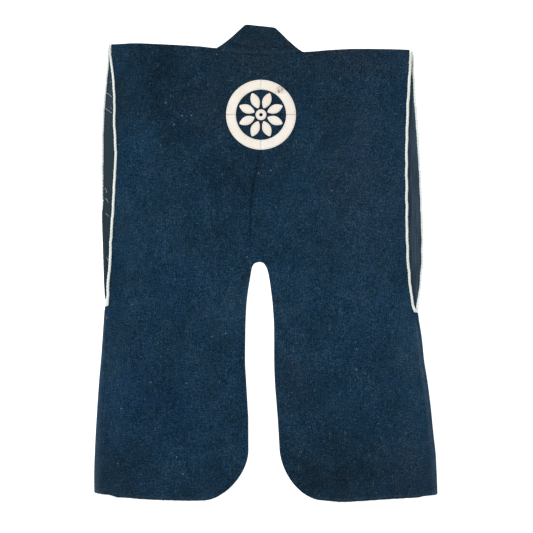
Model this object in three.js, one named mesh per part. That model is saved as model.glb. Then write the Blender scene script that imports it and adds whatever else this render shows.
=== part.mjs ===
// A jinbaori, a sleeveless Japanese campaign surcoat, laid out flat with its back upwards.
// Millimetres. +X runs to the wearer's right side, +Y towards the collar, and +Z up from the surface that it
// lies on. The origin is on that surface, under the middle of the garment.
import * as THREE from "three";

const { lerp, smoothstep, degToRad } = THREE.MathUtils;

// Gaps between the pieces
const SEAM_GAP = 0.3;
// How far a front's outer cloth and its lining stop short of the shoulder seam and of the front's hem
const OUTER_SETBACK = { top: 0.8, hem: 0 };
const LINING_SETBACK = { top: 3, hem: 12 };

// Cloth thicknesses
const BACK_CLOTH = 2.2; // outer cloth and its lining, as one
const FRONT_CLOTH = 1.5;
const LINING_CLOTH = 0.9;
const COLLAR_CLOTH = 3.0; // band folded over an interlining
const APPLIQUE_CLOTH = 1.2;
const CORD_RADIUS = 2.8;

// Heights that the layers lie at
const LINING_MIDDLE = FRONT_CLOTH + SEAM_GAP + LINING_CLOTH / 2;
const BACK_REST = 3.3; // underside of the back cloth where it lies on the fronts
const SHOULDER_FOLD_RADIUS = BACK_REST / 2;
const SIDE_FOLD_RADIUS = (BACK_REST + BACK_CLOTH - FRONT_CLOTH) / 2;
const COLLAR_FOLD_RADIUS = 1.7;
const COLLAR_FOLD_STEPS = 6;
const SHOULDER_INSET = SHOULDER_FOLD_RADIUS + BACK_CLOTH / 2; // outline to the start of the shoulder fold
const SIDE_INSET = SIDE_FOLD_RADIUS + FRONT_CLOTH / 2;
const CORD_SEAT = CORD_RADIUS + SEAM_GAP; // centre of a cord to the cloth edge it is sewn to

// Seams and hems
const SHOULDER_WRAP = 12; // cloth of the back that lies under the garment at the shoulder's outer end
const SHOULDER_LENGTH = 205; // it narrows to nothing over this length, towards the neck
const NECK_CORNER = 3; // the shoulder's fold stops this far outside the neck
const SIDE_RETURN = 10; // cloth of the front that comes round the side onto the back
const FRONT_HEM_RISE = { side: 1.5, inside: 14 }; // the front hem is this much shorter than the back hem
const HEM_DROP = 10; // the back settles onto the surface over this length at its hem
const HEM_SIDE = { from: 16, to: 60 }; // distance from the side fold over which both hems change
const VENT_CROWN_Y = 3.7;
const SIDE_HEM_X = 325; // where the side seams meet the hem
const CORD_LOW = CORD_RADIUS + 0.2; // height of the cord's centre on the front's edge
const CORD_HIGH = BACK_REST + CORD_RADIUS; // and on the back's edge, where it lies on the lining
const CORD_PITCH = 2 * CORD_RADIUS + SEAM_GAP;
const CORD_STEPS = 80;
const TURN_CLEARANCE = 4; // the legs' points keep this far from the turns at both ends
const TURN_STEPS = 6;
const CORD_SKIN = 0.05; // the cord's tube is drawn this much slimmer, so that its turns stay clear

// The two sides. outline is the edge seen from above: the outer side of the front cord down to the foot of
// the armhole, then the side fold. cord is the centre of the cord on the back's armhole edge.
const LEFT = {
  name: "left",
  sign: -1,
  armholeFoot: -84.4,
  turnY: -78.7,
  topY: 421.4,
  cornerStart: -367.5,
  edges: [
    { y: 427, outline: -307.4, cord: -304.5 },
    { y: 397, outline: -309.4, cord: -301.6 },
    { y: 377, outline: -311.3, cord: -299.1 },
    { y: 340, outline: -315.0, cord: -296.3 },
    { y: 300, outline: -318.2, cord: -295.1 },
    { y: 278, outline: -319.4, cord: -295.9 },
    { y: 241, outline: -320.6, cord: -293.0 },
    { y: 206, outline: -321.0, cord: -292.2 },
    { y: 167, outline: -321.1, cord: -294.4 },
    { y: 118, outline: -319.8, cord: -296.7 },
    { y: 81, outline: -319.1, cord: -299.1 },
    { y: 44, outline: -317.9, cord: -301.6 },
    { y: 1, outline: -316.5, cord: -303.2 },
    { y: -20, outline: -315.9, cord: -305.3 },
    { y: -42, outline: -315.1, cord: -307.0 },
    { y: -60, outline: -313.9, cord: -308.2 },
    { y: -75, outline: -313.4, cord: -309.4 },
    { y: -95, outline: -314.6 },
    { y: -149, outline: -318.2 },
    { y: -188, outline: -321.1 },
    { y: -227, outline: -324.6 },
    { y: -293, outline: -329.1 },
    { y: -352, outline: -332.4 },
    { y: -416, outline: -334.5 },
    { y: -447, outline: -334.2 },
  ],
  // Collar band on the hidden front, from the fold beside the neck to its rounded foot:
  // (ax, ay) on the edge sewn to the front, (fx, fy) on the free edge
  band: [
    { ax: -91.8, ay: 419.2, fx: -35.4, fy: 462.4 },
    { ax: -95.5, ay: 404, fx: -41, fy: 436 },
    { ax: -99.5, ay: 386, fx: -46.5, fy: 404 },
    { ax: -104.5, ay: 355, fx: -50.5, fy: 364 },
    { ax: -110.5, ay: 280, fx: -58.5, fy: 284 },
    { ax: -114.5, ay: 200, fx: -63.5, fy: 201 },
    { ax: -116.5, ay: 120, fx: -65.5, fy: 120 },
    { ax: -116.5, ay: 0, fx: -66.5, fy: 0 },
    { ax: -117, ay: -130, fx: -67.5, fy: -130 },
    { ax: -118, ay: -260, fx: -68, fy: -260 },
    { ax: -118, ay: -350, fx: -68, fy: -360 },
  ],
  foldOut: [-0.609, 0.793],
};
const RIGHT = {
  name: "right",
  sign: 1,
  armholeFoot: -94.6,
  turnY: -88.6,
  topY: 409.6,
  cornerStart: -356,
  edges: [
    { y: 415, outline: 286.6, cord: 283.2 },
    { y: 397, outline: 288.1, cord: 282.2 },
    { y: 377, outline: 289.3, cord: 280.9 },
    { y: 350, outline: 291.5, cord: 279.3 },
    { y: 319, outline: 293.4, cord: 277.4 },
    { y: 282, outline: 296.5, cord: 276.0 },
    { y: 247, outline: 299.0, cord: 275.0 },
    { y: 212, outline: 301.0, cord: 274.2 },
    { y: 190, outline: 302.5, cord: 274.2 },
    { y: 118, outline: 305.5, cord: 274.7 },
    { y: 71, outline: 307.2, cord: 274.9 },
    { y: 36, outline: 307.8, cord: 275.9 },
    { y: 1, outline: 307.2, cord: 277.3 },
    { y: -23, outline: 305.2, cord: 279.4 },
    { y: -48, outline: 302.9, cord: 281.8 },
    { y: -71, outline: 300.0, cord: 285.2 },
    { y: -88, outline: 298.3, cord: 287.9 },
    { y: -110, outline: 298.8 },
    { y: -149, outline: 304.9 },
    { y: -188, outline: 308.8 },
    { y: -227, outline: 315.0 },
    { y: -274, outline: 321.2 },
    { y: -330, outline: 326.9 },
    { y: -373, outline: 331.6 },
    { y: -410, outline: 333.5 },
    { y: -447, outline: 334.9 },
  ],
  band: [
    { ax: 69.7, ay: 412.2, fx: 17.0, fy: 455.9 },
    { ax: 74.5, ay: 398, fx: 24.5, fy: 430 },
    { ax: 79.5, ay: 378, fx: 32, fy: 404 },
    { ax: 88, ay: 345, fx: 42, fy: 362 },
    { ax: 100, ay: 300, fx: 54, fy: 311 },
    { ax: 114, ay: 235, fx: 66, fy: 238 },
    { ax: 125.5, ay: 125, fx: 74.5, fy: 127 },
    { ax: 129.5, ay: 20, fx: 79, fy: 20 },
    { ax: 129.5, ay: -130, fx: 79.5, fy: -130 },
    { ax: 129, ay: -260, fx: 79, fy: -260 },
    { ax: 129, ay: -345, fx: 79, fy: -355 },
  ],
  foldOut: [0.638, 0.77],
};
const SIDES = [LEFT, RIGHT];

// Centre of the back: one seam down to the crown of the vent, then the vent's two edges
const CENTRE_ROWS = [
  { y: 407, left: -7.1, right: -7.1 },
  { y: 319, left: -9.1, right: -9.1 },
  { y: 222, left: -12.0, right: -12.0 },
  { y: 202, left: -14.0, right: -14.0 },
  { y: 143, left: -25.7, right: -25.7 },
  { y: 93, left: -29.4, right: -29.4 },
  { y: 50, left: -30.4, right: -30.4 },
  { y: 22, left: -27.5, right: -27.5 },
  { y: 9, left: -20.0, right: -20.0 },
  { y: VENT_CROWN_Y, left: -12.2, right: -12.2 },
  { y: 1.5, left: -19.4, right: -5.6 },
  { y: -2.3, left: -24.3, right: -1.9 },
  { y: -10, left: -27.3, right: 2.4 },
  { y: -27, left: -30.2, right: 6.6 },
  { y: -52, left: -34.4, right: 10.2 },
  { y: -83, left: -37.8, right: 13.7 },
  { y: -130, left: -39.7, right: 16.3 },
  { y: -188, left: -40.3, right: 16.4 },
  { y: -227, left: -38.3, right: 17.6 },
  { y: -274, left: -35.6, right: 21.1 },
  { y: -305, left: -34.0, right: 23.5 },
  { y: -356, left: -33.8, right: 26.6 },
];
const SHOULDER_ROWS = [
  { x: -301.6, y: 427.3 },
  { x: -252.8, y: 429.5 },
  { x: -206, y: 427.7 },
  { x: -128, y: 423.2 },
  { x: -96.1, y: 419.9 },
  { x: 74.2, y: 412.7 },
  { x: 127.4, y: 416.4 },
  { x: 180.1, y: 418.4 },
  { x: 240.5, y: 417.4 },
  { x: 281.1, y: 415.4 },
];
const NECK_ROWS = [
  { x: -96.1, y: 419.9 },
  { x: -82.6, y: 416.0 },
  { x: -58.2, y: 409.6 },
  { x: -29.6, y: 407.2 },
  { x: 10.4, y: 407.2 },
  { x: 53.3, y: 409.6 },
  { x: 74.2, y: 412.7 },
];
const HEM_ROWS = [
  { x: -334, y: -446.5 },
  { x: -308.7, y: -450.6 },
  { x: -288.7, y: -455.3 },
  { x: -252.8, y: -458.8 },
  { x: -201.6, y: -461.4 },
  { x: -141.1, y: -462.6 },
  { x: -118.7, y: -462.2 },
  { x: 104, y: -461.8 },
  { x: 148.9, y: -465.0 },
  { x: 195.7, y: -462.6 },
  { x: 241.9, y: -459.6 },
  { x: 294.7, y: -455.9 },
  { x: 330.4, y: -450.3 },
  { x: 334.5, y: -447.6 },
];
// Collar at the nape, between the folds beside the neck: s runs along the band, free edge height above it
const NAPE_ROWS = [
  { ax: -77, fx: -30.5, fy: 464.6 },
  { ax: -57, fx: -22, fy: 464.0 },
  { ax: -34, fx: -13, fy: 463.1 },
  { ax: -10, fx: -4, fy: 462.2 },
  { ax: 14, fx: 4, fy: 461.4 },
  { ax: 38, fx: 10.5, fy: 460.6 },
  { ax: 57, fx: 14.8, fy: 459.6 },
];
// Relief across the nape: the seam allowance stands up beside the seam, with a groove above it
const NAPE_RELIEF = [
  { across: 0, rise: 0 },
  { across: 0.07, rise: 0.7 },
  { across: 0.15, rise: 0.2 },
  { across: 0.21, rise: -0.6 },
  { across: 0.28, rise: 0.3 },
  { across: 0.5, rise: 0.8 },
  { across: 0.78, rise: 0.5 },
  { across: 1, rise: 0 },
];
// Soft ridges in the back cloth: from (x0, y0) to (x1, y1), height above the cloth and half width
const RIDGES = [
  { x0: -29, y0: 190, x1: -46, y1: 40, height: 1.3, half: 13 },
  { x0: -8, y0: 185, x1: -14, y1: 45, height: 1.2, half: 15 },
  { x0: 66, y0: 170, x1: 120, y1: 262, height: 1.7, half: 13 },
  { x0: 108, y0: 140, x1: 196, y1: 268, height: 1.5, half: 17 },
  { x0: 84, y0: 118, x1: 86, y1: 40, height: 1.2, half: 14 },
  { x0: 258, y0: -420, x1: 306, y1: -374, height: 1.7, half: 15 },
  { x0: 190, y0: -400, x1: 292, y1: -346, height: 1.4, half: 19 },
  { x0: 240, y0: -212, x1: 300, y1: -200, height: 1.1, half: 13 },
  { x0: -284, y0: -402, x1: -170, y1: -424, height: 1.3, half: 18 },
  { x0: -236, y0: -60, x1: -226, y1: -330, height: 1.0, half: 24 },
  { x0: -190, y0: 250, x1: -216, y1: 40, height: 1.0, half: 26 },
  { x0: 214, y0: 60, x1: 228, y1: -150, height: 1.0, half: 24 },
  { x0: -110, y0: 100, x1: -98, y1: -260, height: 0.9, half: 22 },
  { x0: 120, y0: -60, x1: 112, y1: -300, height: 0.9, half: 24 },
];

// Applique on the upper back: a ring of four arcs round eight leaves and a pierced disc
const APPLIQUE = { x: -9.1, y: 289.6 };
const RING_INNER = 49;
const RING_OUTER = 68;
const RING_ARCS = 4;
const ARC_GAP_DEG = 0.4;
const ARC_STEPS = 10;
const LEAVES = 8;
const LEAF_FROM = 14;
const LEAF_TO = 45;
const LEAF_HALF_WIDTH = 8.5;
const LEAF_TIP_HALF_WIDTH = 1;
const LEAF_FULLNESS = 0.8;
const LEAF_STEPS = 8;
const DISC_INNER = 3.5;
const DISC_OUTER = 10.5;

// A smooth value as a function of a key, through a table's rows, with no overshoot between them.
function through(rows, key, value) {
  const points = rows.filter((r) => r[value] !== undefined).sort((a, b) => a[key] - b[key]);
  const secant = (i) => (points[i + 1][value] - points[i][value]) / (points[i + 1][key] - points[i][key]);
  const last = points.length - 1;
  const slopes = points.map((_, i) => {
    if (i === 0) return secant(0);
    if (i === last) return secant(last - 1);
    const before = secant(i - 1);
    const after = secant(i);
    return before * after > 0 ? (2 * before * after) / (before + after) : 0;
  });
  return (k) => {
    if (k <= points[0][key]) return points[0][value];
    if (k >= points[last][key]) return points[last][value];
    let i = 0;
    while (points[i + 1][key] < k) i += 1;
    const span = points[i + 1][key] - points[i][key];
    const t = (k - points[i][key]) / span;
    const u = 1 - t;
    return (
      points[i][value] * (1 + 2 * t) * u * u +
      slopes[i] * span * t * u * u +
      points[i + 1][value] * (3 - 2 * t) * t * t -
      slopes[i + 1] * span * t * t * u
    );
  };
}

const shoulder = through(SHOULDER_ROWS, "x", "y");
const neck = through(NECK_ROWS, "x", "y");
const hem = through(HEM_ROWS, "x", "y");

// The band's rounded foot: a quarter of an ellipse from its last row, by the angle turned
const BAND_FOOT_WIDTH = 46;
const BAND_FOOT_HEIGHT = 88;
const BAND_FOOT_ROWS = [
  { turn: 20, ay: -385 },
  { turn: 40, ay: -410 },
  { turn: 60, ay: -430 },
  { turn: 80, ay: -443 },
  { turn: 86, ay: -448 },
];
for (const side of SIDES) {
  side.outline = through(side.edges, "y", "outline");
  side.cord = through(side.edges, "y", "cord");
  side.centre = through(CENTRE_ROWS, "y", side.name);
  const corner = side.band.at(-1);
  for (const { turn, ay } of BAND_FOOT_ROWS) {
    const angle = degToRad(turn);
    side.band.push({
      ax: corner.ax,
      ay,
      fx: corner.fx + side.sign * BAND_FOOT_WIDTH * (1 - Math.cos(angle)),
      fy: corner.fy - BAND_FOOT_HEIGHT * Math.sin(angle),
    });
  }
  side.bandSewn = through(side.band, "ay", "ax");
  side.bandFree = through(side.band, "fy", "fx");
}

// How far the back's shoulder cloth runs on under the garment, ending beside the neck.
function shoulderWrap(x) {
  const neckPoint = x < 0 ? NECK_ROWS[0].x : NECK_ROWS.at(-1).x;
  return SHOULDER_WRAP * Math.min(Math.abs(x - neckPoint) / SHOULDER_LENGTH, 1);
}

// Height of a soft ridge at (x, y): round across, fading out at both ends.
function ridgeHeight(ridge, x, y) {
  const dx = ridge.x1 - ridge.x0;
  const dy = ridge.y1 - ridge.y0;
  const length = Math.hypot(dx, dy);
  const along = ((x - ridge.x0) * dx + (y - ridge.y0) * dy) / length;
  const across = ((x - ridge.x0) * dy - (y - ridge.y0) * dx) / length;
  const { half } = ridge;
  const fade = smoothstep(along, -half, half) * (1 - smoothstep(along, length - half, length + half));
  return ridge.height * fade * Math.exp(-((across / half) ** 2));
}

// Between the free edges of the fronts' bands the back sags to the surface, from this far past each edge and
// over a length that is short beside the vent and long above it. Higher up it spans the gap.
const SAG_START = 12;
const SAG_LENGTH = { vent: 15, above: 45, from: -60, to: 60 };
const SAG_ENDS = { from: 130, to: 215 };
// Ridges flatten towards the panel's edges over this distance
const RIDGE_EBB = { from: 12, to: 60 };

// Height of the back cloth's underside: on the fronts, and down to the surface between them.
function backUnderside(x, y) {
  const length = lerp(SAG_LENGTH.vent, SAG_LENGTH.above, smoothstep(y, SAG_LENGTH.from, SAG_LENGTH.to));
  const pastLeft = x - LEFT.bandFree(y) - SAG_START;
  const pastRight = RIGHT.bandFree(y) - x - SAG_START;
  const sag = smoothstep(pastLeft, 0, length) * smoothstep(pastRight, 0, length);
  const base = BACK_REST * (1 - sag * (1 - smoothstep(y, SAG_ENDS.from, SAG_ENDS.to)));
  const side = x < LEFT.centre(y) ? LEFT : RIGHT;
  const fromOutline = Math.abs(side.outline(y) - x);
  const fromVent = y < VENT_CROWN_Y ? Math.abs(side.centre(y) - x) : RIDGE_EBB.to;
  const ease =
    smoothstep(fromOutline - SIDE_INSET - SIDE_RETURN, RIDGE_EBB.from, RIDGE_EBB.to) *
    smoothstep(fromVent, 0, RIDGE_EBB.to / 2) *
    smoothstep(y - hem(x), RIDGE_EBB.from, RIDGE_EBB.to);
  const ridges = RIDGES.reduce((sum, ridge) => sum + ridgeHeight(ridge, x, y), 0);
  const hemShare = smoothstep(fromOutline, HEM_SIDE.from, HEM_SIDE.to);
  return (base + ridges * ease) * lerp(1, smoothstep(y - hem(x), 0, HEM_DROP), hemShare);
}

// Whether the back's cloth folds over at its top here, as it does outside the neck.
const foldsOver = (x) => x < NECK_ROWS[0].x - NECK_CORNER || x > NECK_ROWS.at(-1).x + NECK_CORNER;

// Middle of the back cloth at a pattern point, folded over at the shoulder.
function backPoint(x, y) {
  const start = foldsOver(x) ? shoulder(x) - SHOULDER_INSET : Infinity;
  const past = y - start;
  const top = backUnderside(x, Math.min(y, start)) + BACK_CLOTH / 2;
  if (past <= 0) return new THREE.Vector3(x, y, top);
  const r = SHOULDER_FOLD_RADIUS;
  const turn = Math.min(past / r, Math.PI);
  const beyond = Math.max(past - Math.PI * r, 0);
  return new THREE.Vector3(x, start + r * Math.sin(turn) - beyond, top - r + r * Math.cos(turn));
}

// Middle of a front's lining, which lies flat on it.
const liningPoint = (x, y) => new THREE.Vector3(x, y, LINING_MIDDLE);

// Middle of a front's cloth at a pattern point, folded up and back at the side.
function frontPoint(side) {
  return (x, y) => {
    const start = side.outline(y) - side.sign * SIDE_INSET;
    const past = side.sign * (x - start);
    const base = FRONT_CLOTH / 2;
    if (past <= 0) return new THREE.Vector3(x, y, base);
    const r = SIDE_FOLD_RADIUS;
    const turn = Math.min(past / r, Math.PI);
    const reach = r * Math.sin(turn) - Math.max(past - Math.PI * r, 0);
    return new THREE.Vector3(start + side.sign * reach, y, base + r - r * Math.cos(turn));
  };
}

// The surface's normal at a pattern point.
function normalAt(point, x, y) {
  const step = 0.02;
  const alongX = point(x + step, y).sub(point(x - step, y));
  const alongY = point(x, y + step).sub(point(x, y - step));
  return alongX.cross(alongY).normalize();
}

// A surface moved out along its normals, for what lies on a cloth.
function lifted(point, distance) {
  return (x, y) => point(x, y).addScaledVector(normalAt(point, x, y), distance);
}

// A closed wall from a grid of its middle points and their normals, [row][column].
function wallFrom(points, normals, thickness) {
  const rows = points.length;
  const columns = points[0].length;
  const faces = [thickness / 2, -thickness / 2].flatMap((out) =>
    points.flatMap((row, i) => row.map((p, j) => p.clone().addScaledVector(normals[i][j], out))),
  );
  const at = (i, j, face) => face * rows * columns + i * columns + j;
  const triangles = [];
  const quad = (a, b, c, d) => triangles.push([a, b, c], [a, c, d]);
  for (let i = 0; i < rows - 1; i += 1) {
    for (let j = 0; j < columns - 1; j += 1) {
      const diagonal = points[i][j].distanceTo(points[i + 1][j + 1]);
      const otherDiagonal = points[i + 1][j].distanceTo(points[i][j + 1]);
      const corners = [[i, j], [i + 1, j], [i + 1, j + 1], [i, j + 1]];
      if (otherDiagonal <= diagonal) corners.push(corners.shift());
      quad(...corners.map(([a, b]) => at(a, b, 0)));
      quad(...corners.map(([a, b]) => at(a, b, 1)).reverse());
    }
  }
  const edge = (i, j, k, l) => quad(at(i, j, 0), at(k, l, 0), at(k, l, 1), at(i, j, 1));
  for (let j = 0; j < columns - 1; j += 1) {
    edge(0, j, 0, j + 1);
    edge(rows - 1, j + 1, rows - 1, j);
  }
  for (let i = 0; i < rows - 1; i += 1) {
    edge(i + 1, 0, i, 0);
    edge(i, columns - 1, i + 1, columns - 1);
  }
  const volumeOf = ([a, b, c]) => faces[a].dot(faces[b].clone().cross(faces[c]));
  const volume = triangles.reduce((sum, triangle) => sum + volumeOf(triangle), 0);
  if (volume < 0) triangles.forEach((triangle) => triangle.reverse());
  const geometry = new THREE.BufferGeometry().setFromPoints(faces);
  geometry.setIndex(triangles.flat());
  geometry.computeVertexNormals();
  return geometry;
}

// A closed wall of even thickness about a surface, over a grid of pattern points.
function wall(grid, point, thickness) {
  const points = grid.map((row) => row.map(([x, y]) => point(x, y)));
  const normals = grid.map((row) => row.map(([x, y]) => normalAt(point, x, y)));
  return wallFrom(points, normals, thickness);
}

// Even steps from 0 to 1.
const steps = (count) => Array.from({ length: count + 1 }, (_, i) => i / count);

// Below the foot of the armhole, over how long the back's edge passes from the cord to the side seam, the
// front's edge leaves the cord, its side turns over, and its return reaches its full width
const BACK_LEAVES_CORD = { from: 1.5, to: 8 };
const FRONT_LEAVES_CORD = { from: 1, to: 7 };
const SIDE_TURNS_OVER = { from: 6, to: 15 };
const RETURN_WIDENS = { from: 14, to: 105 };

// A smooth step over the stretch of a span that lies below the foot of a side's armhole.
const below = (side, y, span) => smoothstep(side.armholeFoot - y, span.from, span.to);

// Length of the front's cloth that lies on the back side at the side seam.
const sideReturn = (side, y) => SIDE_RETURN * below(side, y, RETURN_WIDENS);

// Outer edge of a back half: beside the armhole cord, then beside the front's return at the side seam.
function backEdge(side, y) {
  const armhole = side.cord(y) - side.sign * CORD_SEAT;
  const seam = side.outline(y) - side.sign * (SIDE_INSET + sideReturn(side, y) + SEAM_GAP);
  return lerp(armhole, seam, below(side, y, BACK_LEAVES_CORD));
}

// Rows and columns of the panels' patterns, as shares of the stretches that their names say
const SHOULDER_FOLD_SHARES = [1, 0.3, 0.22, 0.15, 0.07, 0];
const NECK_DEPTH = 8; // depth of those rows below the neck seam
const SETTLING_ROUNDS = 4; // passes to find where a slanting column meets a curved edge
const UPPER_SHARES = [0.04, 0.12, 0.21, 0.3, 0.39, 0.48, 0.57, 0.66, 0.76, 0.86, 0.94, 1];
const VENT_SHARES = [0.005, 0.013, 0.03, 0.065, 0.115];
const SIDE_SEAM_SHARES = [0.27, 0.33, 0.4, 0.49, 0.58, 0.67, 0.76, 0.86, 0.94];
const HEM_SHARES = [0.978, 1];
const OUTER_SHARES = [0, 0.18, 0.35, 0.52, 0.68, 0.83, 0.97, 1];
const CORNER_COLUMNS = 8;
// Levels close to the foot of the armhole, above it, for a front and for the back
const FRONT_FOOT_LEVELS = [26, 18, 12, 5, 1, -1.5, -4.5, -8, -12];
const BACK_FOOT_LEVELS = [12, -1.5, -8];
const LEAST_ROW_STEP = 10;
const FRONT_FLAT_SHARES = [0, 0.25, 0.5, 0.75, 0.92, 1];
const FRONT_FOLD_COLUMNS = 5;
const LINING_SHARES = [0, 0.33, 0.66, 1];
const EDGE_STRIP = 3; // width of the front's last column beside the armhole cord
const LINING_INSET = 1;

// Level of a share of the way from the vent's crown to the hem, at the side seam.
const sideLevel = (side, share) => lerp(VENT_CROWN_Y, hem(side.sign * SIDE_HEM_X), share);

// Pattern points of one half of the back, from the shoulder to the hem with its rounded inner corner.
function backGrid(side) {
  const centreGap = (y) => (y > VENT_CROWN_Y ? side.sign * (SEAM_GAP / 2) : 0);
  const across = (u, y) => lerp(backEdge(side, y), side.centre(y) + centreGap(y), u);
  const neckPoint = side === LEFT ? NECK_ROWS[0] : NECK_ROWS.at(-1);
  const edgeX = across(0, neckPoint.y);
  const neckShare = (neckPoint.x - edgeX) / (across(1, neckPoint.y) - edgeX);
  const columns = [
    ...OUTER_SHARES.map((s) => ({ u: s * neckShare, corner: Math.PI / 2 })),
    ...steps(CORNER_COLUMNS).slice(1).map((s) => {
      const corner = (Math.PI / 2) * (1 - s);
      return { u: 1 - (1 - neckShare) * (1 - Math.cos(corner)), corner };
    }),
  ];
  const hemLevel = sideLevel(side, 1);
  const shareOf = (y) => (VENT_CROWN_Y - y) / (VENT_CROWN_Y - hemLevel);
  const footShares = BACK_FOOT_LEVELS.map((above) => shareOf(side.armholeFoot + above));
  const lowerShares = [...VENT_SHARES, ...footShares, ...SIDE_SEAM_SHARES, ...HEM_SHARES];
  const levelOn = (edge, u, start) => {
    let y = start;
    for (let i = 0; i < SETTLING_ROUNDS; i += 1) y = edge(across(u, y));
    return y;
  };
  return columns.map(({ u, corner }) => {
    const onShoulder = u < neckShare;
    const shoulderStart = (x) => shoulder(x) - SHOULDER_INSET;
    const shoulderEnd = (x) => shoulderStart(x) + Math.PI * SHOULDER_FOLD_RADIUS + shoulderWrap(x);
    const foldStart = levelOn(onShoulder ? shoulderStart : (x) => neck(x) - NECK_DEPTH, u, neckPoint.y);
    const top = levelOn(onShoulder ? shoulderEnd : (x) => neck(x) - SEAM_GAP / 2, u, neckPoint.y);
    const hemAt = levelOn(hem, u, hemLevel);
    const bottom = lerp(side.cornerStart, hemAt, Math.sin(corner));
    return [
      ...SHOULDER_FOLD_SHARES.map((s) => lerp(foldStart, top, s)),
      ...UPPER_SHARES.map((s) => lerp(foldStart, VENT_CROWN_Y, s)),
      ...lowerShares.map((s) => lerp(VENT_CROWN_Y, bottom, s)),
    ].map((y) => [across(u, y), y]);
  });
}

// The front's edge stands back further where the cord turns at the foot, over this stretch above it
const CORD_TURN = { clearance: 4, from: -2, full: 4, ebb: 8, to: 26 };

// Outer end of a front's pattern: inside the armhole cord, then round the side fold.
function frontEdge(side, y) {
  const above = y - side.armholeFoot;
  const atTurn =
    smoothstep(above, CORD_TURN.from, CORD_TURN.full) * (1 - smoothstep(above, CORD_TURN.ebb, CORD_TURN.to));
  const armhole = 2 * CORD_RADIUS + SEAM_GAP + CORD_TURN.clearance * atTurn;
  const curl = Math.PI * SIDE_FOLD_RADIUS * below(side, y, SIDE_TURNS_OVER) + sideReturn(side, y);
  return side.outline(y) - side.sign * lerp(armhole, SIDE_INSET - curl, below(side, y, FRONT_LEAVES_CORD));
}

// Levels of a front between its shoulder seam and its hem, close together at the foot of the armhole.
function frontLevels(side) {
  const feet = FRONT_FOOT_LEVELS.map((above) => side.armholeFoot + above);
  const bandRows = side.band.slice(1).map((row) => row.ay);
  const upper = bandRows.filter((y) => y > feet[0] + LEAST_ROW_STEP);
  return [...upper, ...feet, ...SIDE_SEAM_SHARES.map((share) => sideLevel(side, share))];
}

// Pattern points of a front, from its armhole edge or side seam to the collar band.
function frontGrid(side, columns, outerEnd, setback) {
  const inner = (y) => side.bandSewn(y) + side.sign * SEAM_GAP;
  const topAt = (x) => shoulder(x) - SHOULDER_INSET - shoulderWrap(x) - setback.top;
  return columns.map((column) => {
    const place = (y) => column(inner(y), outerEnd(y), y);
    let top = side.topY;
    let bottom = sideLevel(side, 1);
    for (let i = 0; i < SETTLING_ROUNDS; i += 1) {
      top = topAt(place(top));
      const fromOutline = Math.abs(side.outline(bottom) - place(bottom));
      const hemShare = smoothstep(fromOutline, HEM_SIDE.from, HEM_SIDE.to);
      bottom = hem(place(bottom)) + setback.hem + lerp(FRONT_HEM_RISE.side, FRONT_HEM_RISE.inside, hemShare);
    }
    return [top, ...frontLevels(side), bottom].map((y) => [place(y), y]);
  });
}

// A place inside the front's edge by a margin, or where its side starts to fold.
function insideEdge(side, y, margin) {
  const edgeInset = side.sign * (side.outline(y) - frontEdge(side, y));
  return side.outline(y) - side.sign * Math.max(SIDE_INSET, edgeInset + margin);
}

// Columns of a front: across the flat, then round the side fold, then on its return.
function frontColumns(side) {
  return [
    ...FRONT_FLAT_SHARES.map((s) => (from, to, y) => lerp(from, insideEdge(side, y, EDGE_STRIP), s)),
    ...steps(FRONT_FOLD_COLUMNS).slice(1).map((s) => (from, to, y) => {
      const start = insideEdge(side, y, EDGE_STRIP);
      const curl = Math.min(Math.PI * SIDE_FOLD_RADIUS, side.sign * (to - start));
      return start + side.sign * curl * s;
    }),
    (from, to) => to,
  ];
}

// A front's lining stays flat and stops inside the front's edge and its side fold.
const liningColumns = LINING_SHARES.map((s) => (from, to) => lerp(from, to, s));
const liningEnd = (side, y) => insideEdge(side, y, 0) - side.sign * LINING_INSET;

// The cord sewn round an armhole: down the front's edge, round the foot, up the back's edge and over the
// shoulder, where it ends against its own start.
function cordPath(side) {
  const clearOfTurns = ({ y }) => y < side.topY - TURN_CLEARANCE && y > side.turnY + TURN_CLEARANCE;
  const ys = side.edges.filter(clearOfTurns).map((row) => row.y);
  const frontLeg = (y) => new THREE.Vector3(side.outline(y) - side.sign * CORD_RADIUS, y, CORD_LOW);
  const backLeg = (y) => {
    const apart = Math.abs(side.cord(y) - frontLeg(y).x);
    const over = CORD_LOW + Math.sqrt(Math.max(CORD_PITCH ** 2 - apart ** 2, 0));
    return new THREE.Vector3(side.cord(y), y, Math.max(CORD_HIGH, over));
  };
  const turn = (from, to, way) => {
    const middle = from.clone().add(to).multiplyScalar(0.5);
    const radius = from.distanceTo(to) / 2;
    const arm = from.clone().sub(middle);
    return steps(TURN_STEPS).slice(1, -1).map((s) => {
      const reach = new THREE.Vector3(0, way * radius * Math.sin(Math.PI * s), 0);
      return middle.clone().addScaledVector(arm, Math.cos(Math.PI * s)).add(reach);
    });
  };
  const top = side.topY;
  const foot = side.turnY;
  return [
    frontLeg(top - 2 * SEAM_GAP),
    ...ys.map(frontLeg),
    frontLeg(foot),
    ...turn(frontLeg(foot), backLeg(foot), -1),
    backLeg(foot),
    ...[...ys].reverse().map(backLeg),
    backLeg(top),
    ...turn(backLeg(top), frontLeg(top), 1),
    frontLeg(top),
  ];
}

// A curve whose steps are spaced by its points, so that they crowd where the points do.
class PointSpacedCurve extends THREE.CatmullRomCurve3 {
  getPointAt(share) {
    return this.getPoint(share);
  }
  getTangentAt(share) {
    return this.getTangent(share);
  }
}

function cordGeometry(side) {
  const section = new THREE.Shape().absarc(0, 0, CORD_RADIUS - CORD_SKIN, 0, 2 * Math.PI);
  return new THREE.ExtrudeGeometry(section, {
    curveSegments: 4,
    steps: CORD_STEPS,
    extrudePath: new PointSpacedCurve(cordPath(side)),
  });
}

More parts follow.
